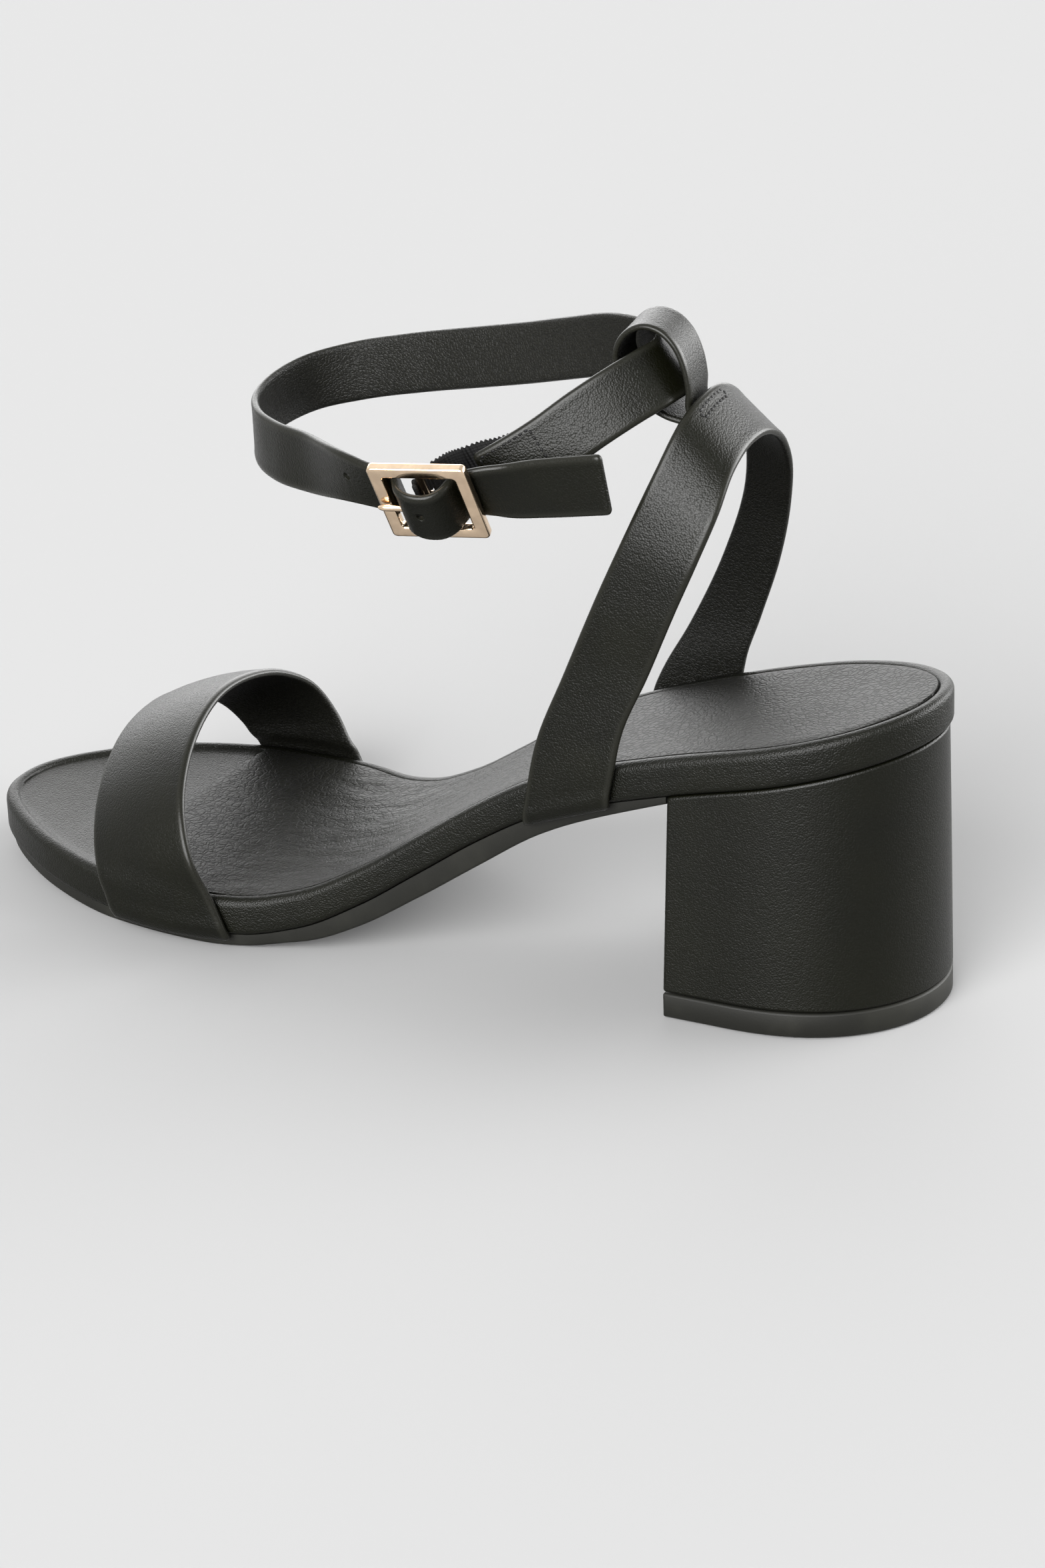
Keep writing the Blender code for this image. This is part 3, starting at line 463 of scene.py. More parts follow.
def spline(points, pieces):
    """Points on a smooth curve through the rows, with a few pieces in each interval."""
    count = len(points)
    size = len(points[0])
    lengths = []
    for i in range(count - 1):
        gap = sum((points[i + 1][k] - points[i][k]) ** 2 for k in range(size)) ** 0.5
        lengths.append(max(gap, 1e-9))
    tangents = []
    for i in range(count):
        if i == 0:
            tangents.append([(points[1][k] - points[0][k]) / lengths[0] for k in range(size)])
        elif i == count - 1:
            tangents.append([(points[-1][k] - points[-2][k]) / lengths[-1] for k in range(size)])
        else:
            a, b = lengths[i - 1:i + 1]
            before = [(points[i][k] - points[i - 1][k]) / a for k in range(size)]
            after = [(points[i + 1][k] - points[i][k]) / b for k in range(size)]
            tangents.append([(before[k] * b + after[k] * a) / (a + b) for k in range(size)])
    result = []
    for i in range(count - 1):
        steps = pieces if isinstance(pieces, int) else pieces[i]
        for j in range(steps):
            t = j / steps
            h00 = (1 + 2 * t) * (1 - t) ** 2
            h10 = t * (1 - t) ** 2
            h01 = t * t * (3 - 2 * t)
            h11 = t * t * (t - 1)
            result.append([
                h00 * points[i][k] + h10 * lengths[i] * tangents[i][k]
                + h01 * points[i + 1][k] + h11 * lengths[i] * tangents[i + 1][k]
                for k in range(size)])
    result.append(list(points[-1]))
    return result


class Wire:
    """An output socket whose arithmetic adds Math nodes to its graph."""

    def __init__(self, graph, socket):
        self.graph = graph
        self.socket = socket

    def maths(self, operation, *values):
        return self.graph.add("ShaderNodeMath", {"operation": operation}, dict(enumerate(values)))

    def __add__(self, other):
        return self.maths("ADD", self, other)

    def __sub__(self, other):
        return self.maths("SUBTRACT", self, other)

    def __rsub__(self, other):
        return self.maths("SUBTRACT", other, self)

    def __mul__(self, other):
        return self.maths("MULTIPLY", self, other)

    __radd__ = __add__
    __rmul__ = __mul__

    def absolute(self):
        return self.maths("ABSOLUTE", self)

    def sine(self):
        return self.maths("SINE", self)

    def spread(self, low, high, to_low=0.0, to_high=1.0):
        """Smooth step from one value to another between two limits, clamped."""
        settings = {"interpolation_type": "SMOOTHSTEP", "clamp": True}
        return self.graph.add("ShaderNodeMapRange", settings,
                              {0: self, 1: low, 2: high, 3: to_low, 4: to_high})


class Graph:
    """A node tree that takes its nodes from one method."""

    def __init__(self, tree):
        self.nodes = tree.nodes
        self.links = tree.links

    def add(self, kind, settings, inputs, output=0):
        """A node of a kind with its settings, then its sockets' values or links."""
        node = self.nodes.new(kind)
        for key, value in settings.items():
            setattr(node, key, value)
        for key, value in inputs.items():
            if isinstance(value, Wire):
                self.links.new(value.socket, node.inputs[key])
            else:
                node.inputs[key].default_value = value
        return Wire(self, node.outputs[output])

    def vector(self, operation, inputs, output=0):
        return self.add("ShaderNodeVectorMath", {"operation": operation}, inputs, output)


class Finish(Graph):
    """One material: its shader's fixed values, and the nodes that vary them."""

    def __init__(self, name, colour, rough, specular=0.5, metallic=0.0):
        self.material = bpy.data.materials.new(name)
        self.material.use_nodes = True
        self.material.diffuse_color = (*colour, 1)
        super().__init__(self.material.node_tree)
        self.shader = self.nodes["Principled BSDF"]
        self.shader.inputs["Base Color"].default_value = (*colour, 1)
        self.shader.inputs["Roughness"].default_value = rough
        self.shader.inputs["Specular IOR Level"].default_value = specular
        self.shader.inputs["Metallic"].default_value = metallic
        self.place = self.add("ShaderNodeTexCoord", {}, {}, "Object")

    def noise(self, scale, detail=3.0, place=None, distort=0.0):
        inputs = {"Vector": place or self.place, "Scale": scale, "Detail": detail,
                  "Roughness": NOISE_ROUGH, "Distortion": distort}
        return self.add("ShaderNodeTexNoise", {}, inputs, "Fac")

    def cells(self, scale, feature="F1", place=None):
        inputs = {"Vector": place or self.place, "Scale": scale}
        return self.add("ShaderNodeTexVoronoi", {"feature": feature}, inputs, "Distance")

    def warped(self, scale, amount):
        """The object's own place, pushed about by a soft noise."""
        inputs = {"Vector": self.place, "Scale": scale, "Detail": 2.0}
        push = self.add("ShaderNodeTexNoise", {}, inputs, "Color")
        centred = self.vector("SUBTRACT", {0: push, 1: (0.5, 0.5, 0.5)})
        scaled = self.vector("SCALE", {0: centred, "Scale": amount})
        return self.vector("ADD", {0: self.place, 1: scaled})

    def layer(self, name):
        """A value kept on the mesh's points."""
        return self.add("ShaderNodeAttribute", {"attribute_name": name}, {}, "Fac")

    def blend(self, mask, low, high):
        """Colour mix from low to high by a mask."""
        low = low if isinstance(low, Wire) else (*low, 1)
        high = high if isinstance(high, Wire) else (*high, 1)
        node = self.nodes.new("ShaderNodeMix")
        node.data_type = "RGBA"
        for key, value in ((0, mask), (6, low), (7, high)):
            if isinstance(value, Wire):
                self.links.new(value.socket, node.inputs[key])
            else:
                node.inputs[key].default_value = value
        return Wire(self, node.outputs[2])

    def feed(self, socket, wire):
        self.links.new(wire.socket, self.shader.inputs[socket])

    def relief(self, *layers):
        """Bumps in turn, each a height, a strength and a depth in metres."""
        normal = None
        for height, strength, depth in layers:
            inputs = {"Height": height, "Strength": strength, "Distance": depth}
            if normal:
                inputs["Normal"] = normal
            normal = self.add("ShaderNodeBump", {}, inputs, "Normal")
        self.feed("Normal", normal)


def pebble(finish, size):
    """Height of a fine pebbled leather grain, cells about one size across."""
    place = finish.warped(0.35 / size, 0.9 * size)
    small = finish.cells(1.0 / size, place=place)
    wide = finish.cells(0.55 / size, place=place)
    return 1 - small * small * 1.5 - wide * 0.25


def strap_leather():
    """Pebbled black leather with a smooth burnished edge, lighter there by a painted highlight, and
    a duller lined inside with painted shade in its creases.
    """
    look = bpy.context.scene.sandal_look
    finish = Finish("strap_leather", look.leather, look.leather_rough, LEATHER_SPECULAR)
    inner = finish.layer("inner")
    rim = finish.layer("rim")
    edge = rim.spread(0.10, 0.42, 1.0, 0.0)
    grain = pebble(finish, look.grain_size)
    cloudy = finish.noise(45.0, 4.0)
    fine = finish.noise(5200.0, 2.0)
    creases = finish.cells(1300.0, "DISTANCE_TO_EDGE", finish.warped(600.0, 0.0009))
    lining = creases.spread(0.0, 0.22) * 0.6 + finish.noise(1500.0, 2.0) * 0.6
    tone = finish.blend(cloudy.spread(0.35, 0.7), look.leather_dark, look.leather)
    # The rounded strap edges are made lighter in colour: a painted highlight of the bright line
    # along them. Their lower roughness and flatter grain are the real smooth burnished edge.
    edge_highlit = finish.blend(edge * 0.75, tone, look.leather_edge)
    # Darker in the lining's creases, a painted shade, and at random by the noise.
    lined = finish.blend(lining, look.lining_dark, look.lining)
    finish.feed("Base Color", finish.blend(inner, edge_highlit, lined))
    low = grain.spread(0.35, 0.95, 0.10, -0.02)
    outer_rough = low + look.leather_rough + edge * -0.08 + cloudy * 0.08 - 0.04
    finish.feed("Roughness", outer_rough * (1 - inner) + inner * look.lining_rough)
    outer = grain * (1 - edge * 0.85) * (1 - inner)
    finish.relief((outer, 0.36, 0.00014), (lining * inner, 0.5, 0.00025), (fine, 0.10, 0.00006))
    return finish.material


def cover_leather(name, clouds, bumps, gloss, pulls):
    """Leather stretched over a form, its grain a little flatter."""
    look = bpy.context.scene.sandal_look
    finish = Finish(name, look.leather, look.leather_rough, LEATHER_SPECULAR)
    grain = pebble(finish, look.grain_size * 0.9)
    cloudy = finish.noise(clouds, 4.0)
    tone = finish.blend(cloudy.spread(0.3, 0.75), look.leather_dark, look.leather)
    finish.feed("Base Color", tone)
    low, shift = gloss
    rough = grain.spread(0.35, 0.95, low, 0.0) + look.leather_rough + shift + cloudy * 0.06
    finish.feed("Roughness", rough)
    finish.relief((pulls(finish), *bumps[0]), (grain, *bumps[1]))
    return finish.material


def wrap_leather():
    """The footbed's cover, pulled over its rim."""
    bumps = ((0.18, 0.0006), (0.45, 0.00015))
    return cover_leather("wrap_leather", 38.0, bumps, (0.10, 0.0),
                         lambda finish: finish.noise(150.0, place=finish.warped(60.0, 0.006)))


def heel_leather():
    """The heel block's cover, smoother than the footbed's."""
    bumps = ((0.10, 0.0004), (0.30, 0.00012))
    return cover_leather("heel_leather", 30.0, bumps, (0.09, -0.02),
                         lambda finish: finish.noise(95.0, 2.0))


def sock_leather():
    """Soft creased lining leather under the foot."""
    look = bpy.context.scene.sandal_look
    finish = Finish("sock_leather", look.lining, look.lining_rough, specular=0.24)
    place = finish.warped(140.0, 0.0045)
    creases = finish.cells(620.0, "DISTANCE_TO_EDGE", place)
    small = finish.cells(1300.0, "DISTANCE_TO_EDGE", finish.warped(600.0, 0.0009))
    cloudy = finish.noise(26.0, 5.0)
    height = creases.spread(0.0, 0.20) * 0.7 + small.spread(0.0, 0.25) * 0.3
    stretched = finish.vector("MULTIPLY", {0: finish.warped(30.0, 0.012), 1: (0.45, 1.0, 1.0)})
    folds = finish.noise(150.0, 2.0, place=stretched)
    along = finish.add("ShaderNodeSeparateXYZ", {}, {"Vector": finish.place}, "X")
    bent = 1 - (along - FLEX_X).absolute().spread(0.012, 0.045)
    # Darker in the creases: painted shade.
    tone = finish.blend(height, look.lining_dark, look.lining)
    rubbed = cloudy.spread(0.4, 0.8, 0.0, 0.5)
    finish.feed("Base Color", finish.blend(rubbed, tone, look.lining_light))
    low = height.spread(0.2, 0.9, 0.08, 0.0)
    finish.feed("Roughness", low + look.lining_rough + cloudy * 0.06)
    finish.relief((cloudy, 0.3, 0.0012), (folds * bent, 0.7, 0.0016), (height, 0.45, 0.00028))
    return finish.material


def sole_rubber():
    """Dull black moulded rubber with a soft cast haze."""
    look = bpy.context.scene.sandal_look
    finish = Finish("sole_rubber", look.rubber, look.rubber_rough, specular=0.20)
    cloudy = finish.noise(60.0, 4.0)
    fine = finish.noise(2600.0, 3.0)
    rubbed = [value * 1.9 for value in look.rubber]
    finish.feed("Base Color", finish.blend(cloudy.spread(0.45, 0.8), look.rubber, rubbed))
    finish.feed("Roughness", look.rubber_rough + cloudy * 0.14 - 0.07)
    finish.relief((cloudy, 0.15, 0.0006), (fine, 0.3, 0.00008))
    return finish.material


def pale_gold():
    """Polished pale gold plate with faint rubbing marks."""
    look = bpy.context.scene.sandal_look
    finish = Finish("pale_gold", look.gold, look.gold_rough, metallic=1.0)
    cloudy = finish.noise(240.0, 3.0)
    rubs = finish.noise(1800.0, 4.0, distort=0.6)
    deep = [value * 0.80 for value in look.gold]
    finish.feed("Base Color", finish.blend(cloudy.spread(0.35, 0.75), deep, look.gold))
    finish.feed("Roughness", rubs.spread(0.4, 0.75, 0.0, 0.10) + look.gold_rough)
    finish.relief((rubs, 0.06, 0.00004),)
    return finish.material


def ribbed_elastic():
    """Tightly woven black elastic between its ribs."""
    look = bpy.context.scene.sandal_look
    finish = Finish("ribbed_elastic", look.elastic, 0.78, specular=0.15)
    along = finish.layer("along")
    across = finish.layer("across")
    twist = (across * 9500.0).sine() * 0.5 + (along * 8200.0).sine() * 0.3
    fibre = finish.noise(3600.0, 2.0)
    lit = [value * 2.0 for value in look.elastic]
    finish.feed("Base Color", finish.blend(twist.spread(-0.5, 0.8), look.elastic, lit))
    finish.feed("Roughness", fibre * 0.15 + 0.70)
    finish.relief((twist, 0.5, 0.00010), (fibre, 0.25, 0.00006))
    return finish.material


def black_thread():
    """Waxed black thread with its twist."""
    look = bpy.context.scene.sandal_look
    finish = Finish("black_thread", look.thread, 0.55, specular=0.2)
    ply = finish.noise(5200.0, 2.0)
    lit = [value * 2.2 for value in look.thread]
    finish.feed("Base Color", finish.blend(ply, look.thread, lit))
    finish.feed("Roughness", ply * 0.2 + 0.45)
    finish.relief((ply, 0.4, 0.00008),)
    return finish.material


def finish_of(build):
    """The material that a function builds under its own name, built on its first use."""
    return bpy.data.materials.get(build.__name__) or build()


def settle(piece, material, slot, *nodes):
    """Put a piece in the scene, on the body, in place of its nodes."""
    bpy.context.scene.collection.objects.link(piece)
    piece.data.materials.clear()
    piece.data.materials.append(material)
    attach(piece, "root")
    if nodes:
        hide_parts(*nodes)
    return piece


def piece_from(name, mesh, smooth_angle=50.0):
    """An object from a built mesh, welded, turned outward and shaded smooth."""
    bmesh.ops.remove_doubles(mesh, verts=mesh.verts, dist=1e-6)
    bmesh.ops.recalc_face_normals(mesh, faces=mesh.faces)
    data = bpy.data.meshes.new(name)
    mesh.to_mesh(data)
    mesh.free()
    data.shade_smooth()
    data.set_sharp_from_angle(angle=math.radians(smooth_angle))
    return bpy.data.objects.new(name, data)


def wall_faces(mesh, rings):
    """Faces between each closed ring of points and the next."""
    for first, second in zip(rings, rings[1:]):
        for i in range(len(first)):
            j = (i + 1) % len(first)
            mesh.faces.new((first[i], first[j], second[j], second[i]))


def grid_faces(mesh, rows):
    for i in range(len(rows) - 1):
        for j in range(len(rows[i]) - 1):
            mesh.faces.new((rows[i][j], rows[i][j + 1], rows[i + 1][j + 1], rows[i + 1][j]))


class Strap:
    """A strap's surface between two edge curves, read by lengths along and across."""

    def __init__(self, first, second, thick, pieces, bow=0.0):
        rows = spline([(*a, *b) for a, b in zip(first, second)], pieces)
        self.first = [Vector(row[:3]) for row in rows]
        self.second = [Vector(row[3:]) for row in rows]
        self.thick = thick
        self.bow = bow
        self.lengths = [0.0]
        for i in range(1, len(rows)):
            ahead = (self.first[i] + self.second[i]) / 2
            behind = (self.first[i - 1] + self.second[i - 1]) / 2
            self.lengths.append(self.lengths[-1] + (ahead - behind).length)
        self.sides = []
        for i in range(len(rows)):
            low = max(i - 1, 0)
            high = min(i + 1, len(rows) - 1)
            run = (self.first[high] + self.second[high]) - (self.first[low] + self.second[low])
            self.sides.append(run.cross(self.second[i] - self.first[i]).normalized())

    def length(self):
        return self.lengths[-1]

    def frame(self, along):
        """First edge, second edge and outward direction at a length along."""
        along = min(max(along, 0.0), self.lengths[-1])
        i = 0
        while i < len(self.lengths) - 2 and along > self.lengths[i + 1]:
            i += 1
        t = (along - self.lengths[i]) / (self.lengths[i + 1] - self.lengths[i])
        side = self.sides[i].lerp(self.sides[i + 1], t).normalized()
        first = self.first[i].lerp(self.first[i + 1], t)
        return first, self.second[i].lerp(self.second[i + 1], t), side

    def point(self, along, across, height):
        """A point at lengths along and across the strap, a height over its inner face."""
        a, b, side = self.frame(along)
        share = across / (b - a).length
        return a.lerp(b, share) + side * (height + self.bow * 4 * share * (1 - share))

    def width(self, along):
        a, b, side = self.frame(along)
        return (b - a).length

    def outline(self, width, thick, inset):
        """One closed section: across, height, closeness to the rim, inner side or not."""
        half = thick / 2
        rim = min(EDGE_ROUND * thick, 0.3 * width)
        points = []
        wide = 12
        for k in range(wide + 1):
            across = inset + rim + (width - 2 * (inset + rim)) * k / wide
            edge = min(across - inset, width - inset - across)
            sink = FACE_SINK * self.thick * min(max((edge - 0.0009) / 0.0016, 0.0), 1.0)
            points.append((across, thick - sink, edge, 0.0))
        for k in range(1, 8):
            angle = math.pi / 2 - math.pi * k / 8
            across = width - inset - rim + rim * math.cos(angle)
            points.append((across, half + half * math.sin(angle), 0.0, float(k > 5)))
        for k in range(wide + 1):
            across = width - inset - rim - (width - 2 * (inset + rim)) * k / wide
            edge = min(across - inset, width - inset - across)
            points.append((across, 0.0, edge, 1.0))
        for k in range(1, 8):
            angle = -math.pi / 2 - math.pi * k / 8
            across = inset + rim + rim * math.cos(angle)
            points.append((across, half + half * math.sin(angle), 0.0, float(k < 3)))
        return points

    def piece(self, name, corner=0.0012, step=0.0007, rib=0.0):
        """The strap as a closed piece with rounded edges, ends and corners."""
        total = self.length()
        count = max(int(total / step), 8)
        places = [total * i / count for i in range(count + 1)]
        ends = [corner * share for share in (0.02, 0.10, 0.28, 0.60)]
        places = sorted(set([0.0, total] + [p for p in places if corner < p < total - corner]
                            + ends + [total - e for e in ends]))
        mesh = bmesh.new()
        for layer in ("along", "across", "rim", "inner"):
            mesh.verts.layers.float.new(layer)
        layers = mesh.verts.layers.float
        rings = []
        for along in places:
            near = min(along, total - along)
            turn = min(near / corner, 1.0)
            inset = corner * (1 - math.sqrt(1 - (1 - turn) ** 2))
            thin = min(near / (0.5 * self.thick), 1.0)
            thick = self.thick * max(math.sqrt(1 - (1 - thin) ** 2), 0.12)
            if rib:
                ridge = 0.5 - 0.5 * math.cos(2 * math.pi * along / rib)
                thick = thick * (1 - RIB_DEPTH * (1 - ridge))
                inset = inset + RIB_INSET * (1 - ridge)
            lift = (self.thick - thick) / 2
            ring = []
            for across, height, edge, inner in self.outline(self.width(along), thick, inset):
                vert = mesh.verts.new(self.point(along, across, height + lift))
                values = {"along": along, "across": across, "rim": edge * RIM_SCALE, "inner": inner}
                for layer, value in values.items():
                    vert[layers[layer]] = value
                ring.append(vert)
            rings.append(ring)
        wall_faces(mesh, rings)
        mesh.faces.new(rings[0][::-1])
        mesh.faces.new(rings[-1])
        return piece_from(name, mesh, 60.0)


def strap_foot(x, side, lean):
    """A strap's end on the footbed's side: inner face, from the tuck to the rim."""
    points = []
    under = bed_under(x)
    for clear, height in ((STRAP_GAP - TUCK, -0.25 * TUCK), (STRAP_GAP, FOOT_ROUND),
                          (STRAP_GAP, 0.55 * BED_THICK), (STRAP_GAP, BED_THICK)):
        leant = x + lean * height
        points.append((leant, wall_y(leant, side, clear), under + height))
    return points


def vamp_surface():
    """Broad strap over the toes."""

    def edge(rows, rise, half):
        near = BACK_X - VAMP_PLACE - half
        far = BACK_X - VAMP_PLACE - VAMP_SKEW - half * 0.86
        points = strap_foot(near, -1, -VAMP_LEAN)
        other = strap_foot(far, 1, -VAMP_LEAN)[::-1]
        lateral = points[-1][1]
        medial = other[0][1]
        middle = (lateral + medial) / 2
        reach = (medial - lateral) / 2
        for across, up in rows:
            base = points[3][0] + (other[0][0] - points[3][0]) * (across + 1) / 2
            height = bed_under(base) + BED_THICK + up * rise
            points.append((base - VAMP_LEAN * up * rise, middle + across * reach, height))
        return points + other

    front = edge(VAMP_FRONT, VAMP_FRONT_RISE, 0.54 * VAMP_WIDTH)
    back = edge(VAMP_BACK, VAMP_BACK_RISE, -0.54 * VAMP_WIDTH)
    return Strap(back, front, VAMP_THICK, FOOT_PIECES + [8] * 9 + FOOT_PIECES[::-1], VAMP_BOW)


def quarter_frame():
    """Middle of the quarter arch's top, and the way its width runs there."""
    foot = BACK_X - QUARTER_PLACE
    top = Vector((foot + QUARTER_REACH, 0, bed_under(foot) + BED_THICK + QUARTER_RISE))
    slope = math.radians(QUARTER_SLOPE)
    return top, Vector((math.cos(slope), 0, -math.sin(slope)))


def quarter_surface():
    """Strap that arches over the heel from side to side of the waist."""
    top, along = quarter_frame()

    def edge(sign):
        half = QUARTER_FOOT_WIDTH / 2
        near = BACK_X - QUARTER_PLACE + sign * half
        far = near - QUARTER_SKEW
        points = strap_foot(near, -1, QUARTER_LEAN)
        other = strap_foot(far, 1, QUARTER_LEAN)[::-1]
        lateral = points[-1]
        medial = other[0]
        for across, up, front, back in QUARTER_ARCH:
            start = Vector(lateral if across < 0 else medial)
            crest = top + along * (sign * QUARTER_WIDTH / 2)
            x = start.x + (crest.x - start.x) * (back if sign > 0 else front)
            z = start.z + (crest.z - start.z) * up
            fade = min(up / 0.3, 1.0)
            y = across * (QUARTER_SPAN / 2 * fade + abs(start.y) * (1 - fade))
            points.append((x, y, z))
        return points + other

    return Strap(edge(1), edge(-1), QUARTER_THICK, FOOT_PIECES + [8] * 13 + FOOT_PIECES[::-1])


def loop_surface():
    """Keeper loop sewn under the quarter arch's crest, round the ankle strap."""
    top, along = quarter_frame()
    out = Vector((-along.z, 0, along.x))
    corner = top - along * (QUARTER_WIDTH / 2)
    outer = -GAP - LOOP_SEAT - LOOP_THICK
    inner = outer - GAP
    path = [(LOOP_TAIL, outer), (0.4 * LOOP_TAIL, outer)]
    path += [(s * LOOP_LENGTH, outer + h * LOOP_DEPTH) for s, h in LOOP_ROWS]
    path += [(0.4 * LOOP_TAIL, inner), (LOOP_TAIL, inner)]
    middle = Vector((LOOP_SHIFT, LOOP_SIDE * QUARTER_SPAN, 0.0))
    across = Vector(LOOP_ACROSS).normalized() * (LOOP_WIDTH / 2)
    near = []
    far = []
    for s, h in path:
        p = corner + along * s + out * h + middle
        near.append(p - across)
        far.append(p + across)
    return Strap(far, near, LOOP_THICK, 8)


def buckle_axes():
    """The buckle's centre and its axes: along the strap, outward, up the strap."""
    centre = Vector((BACK_X - BUCKLE_PLACE, -BUCKLE_SIDE, RING_HEIGHT - BUCKLE_DROP))
    along = Vector(BUCKLE_ALONG).normalized()
    up = Vector(BUCKLE_UP)
    up = (up - along * up.dot(along)).normalized()
    out = -up.cross(along)
    if out.y > 0:
        out = -out
    return centre, along, out, up


def buckle_matrix():
    centre, along, out, up = buckle_axes()
    turned = Matrix((along, up, out)).transposed().to_4x4()
    return Matrix.Translation(centre) @ turned


def strap_rows():
    """Middle line and width direction of the whole ankle strap."""
    centre, along, out, up = buckle_axes()
    rows = []
    middles = []
    for place, across, drop, lean in RING_ROWS:
        x = BACK_X - RING_PLACE - place * RING_LENGTH
        middles.append(Vector((x, across * RING_WIDTH / 2, RING_HEIGHT - drop * RING_DROP)))
    for i, row in enumerate(RING_ROWS):
        before = middles[max(i - 1, 0)]
        after = middles[min(i + 1, len(middles) - 1)]
        tangent = (after - before).normalized()
        outward = Vector((-tangent.y, tangent.x, 0)).normalized()
        outward = -outward if outward.dot(tangent.cross(Vector((0, 0, 1)))) < 0 else outward
        lean = math.radians(row[3])
        width = Vector((0, 0, 1)) * math.cos(lean) + outward * math.sin(lean)
        width = (width - tangent * width.dot(tangent)).normalized()
        rows.append((middles[i], width))
    half = BUCKLE_LENGTH / 2
    under = BUCKLE_DEPTH / 2 + GAP + STRAP_THICK
    over = AXLE_RADIUS + GAP + GORE_THICK + 2 * GAP
    upright = Vector(TAIL_UP)
    for place, depth, height, turned in THROUGH_ROWS:
        lift = depth * (over if depth > 0 else under)
        width = up.lerp(upright, turned)
        width = (width - along * width.dot(along)).normalized()
        rows.append((centre + along * place * half + out * lift + up * height * STRAP_WIDTH, width))
    end = rows[-1][0]
    run = (along + up * TAIL_RISE + out * 0.10).normalized()
    for share, turned in ((0.33, 0.80), (0.67, 0.95), (1.0, 1.0)):
        width = up.lerp(upright, turned)
        width = (width - run * width.dot(run)).normalized()
        width = width + run * TAIL_SLANT * (share == 1.0)
        rows.append((end + run * TAIL_LENGTH * share, width))
    return rows


def edges_of(rows, width):
    """The low and the high edge of a strap from its middle line and width directions."""
    return [p - w * width / 2 for p, w in rows], [p + w * width / 2 for p, w in rows]


def ankle_surface():
    """Ankle strap, one length from the gore end to the free tail."""
    low, high = edges_of(strap_rows(), STRAP_WIDTH)
    return Strap(low, high, STRAP_THICK, 8)


def gore_surface():
    """Ribbed elastic from the buckle's middle bar to the inside of the strap's end."""
    centre, along, out, up = buckle_axes()
    wrap = AXLE_RADIUS + GAP
    half = BUCKLE_LENGTH / 2
    rows = []
    for k in range(5):
        angle = math.radians(110 + 40 * k)
        rows.append((centre + along * (wrap * math.cos(angle)) + out * (wrap * math.sin(angle)), up))
    for place, depth, rise in GORE_BEND:
        middle = centre + along * place * half - out * depth * wrap
        rows.append((middle + up * rise * GORE_OFFSET, up))
    strap = strap_rows()[:4]
    for i, share, rise in GORE_JOIN:
        place = strap[i][0].lerp(strap[i + 1][0], share)
        width = strap[i][1].lerp(strap[i + 1][1], share).normalized()
        tangent = (strap[i + 1][0] - strap[i][0]).normalized()
        inward = tangent.cross(width).normalized()
        inward = inward if inward.y > 0 else -inward
        rows.append((place + inward * GORE_SEAT + width * rise * GORE_OFFSET, width))
    low, high = edges_of(rows, GORE_WIDTH)
    return Strap(high, low, GORE_THICK, 8)


def plate(mesh, layers, turns, columns, low, high):
    """A plate with the sole's outline, from rings closed by grids."""
    rings = []
    for inset, height in layers:
        lateral = [edge_point(turn, -1, inset) for turn in turns]
        medial = [edge_point(turn, 1, inset) for turn in turns]
        points = lateral + medial[::-1]
        rings.append([mesh.verts.new((p.x, p.y, height(p.x, p.y))) for p in points])
    wall_faces(mesh, rings)
    for ring, height in ((rings[0], low), (rings[-1], high)):
        count = len(turns)
        rows = []
        for i in range(count):
            start = ring[i]
            stop = ring[2 * count - 1 - i]
            row = [start]
            for j in range(1, columns):
                p = start.co.lerp(stop.co, j / columns)
                row.append(mesh.verts.new((p.x, p.y, height(p.x, p.y))))
            row.append(stop)
            rows.append(row)
        grid_faces(mesh, rows)


def footbed_piece():
    """Leather wrapped footbed with a round rim that stands round the sock."""

    def over_underside(rise):
        return lambda x, y: bed_under(x) + rise

    def sunk_top(x, y):
        return bed_top(x, y) - RIM_RISE

    def inside_rim(fall):
        return lambda x, y: max(sunk_top(x, y), bed_under(x) + BED_THICK - fall)

    layers = []
    for k in range(5):
        angle = math.pi / 2 * k / 4
        rise = BED_FOOT_ROUND * (1 - math.cos(angle))
        layers.append((BED_FOOT_ROUND * (1 - math.sin(angle)), over_underside(rise)))
    for share in (0.35, 0.65):
        rise = BED_FOOT_ROUND + (BED_THICK - BED_TOP_ROUND - BED_FOOT_ROUND) * share
        layers.append((0.0, over_underside(rise)))
    for k in range(7):
        angle = math.pi / 2 * k / 6
        rise = BED_THICK - BED_TOP_ROUND * (1 - math.sin(angle))
        layers.append((RIM_INSET * (1 - math.cos(angle)), over_underside(rise)))
    for k in range(1, 5):
        angle = math.pi / 2 * k / 4
        fall = RIM_RISE * (1 - math.cos(angle))
        layers.append((RIM_INSET + 2 * RIM_RISE * math.sin(angle), inside_rim(fall)))
    mesh = bmesh.new()
    plate(mesh, layers, [i / 110 for i in range(111)], 20, over_underside(0.0), sunk_top)
    return piece_from("footbed_wrap", mesh, 70.0)


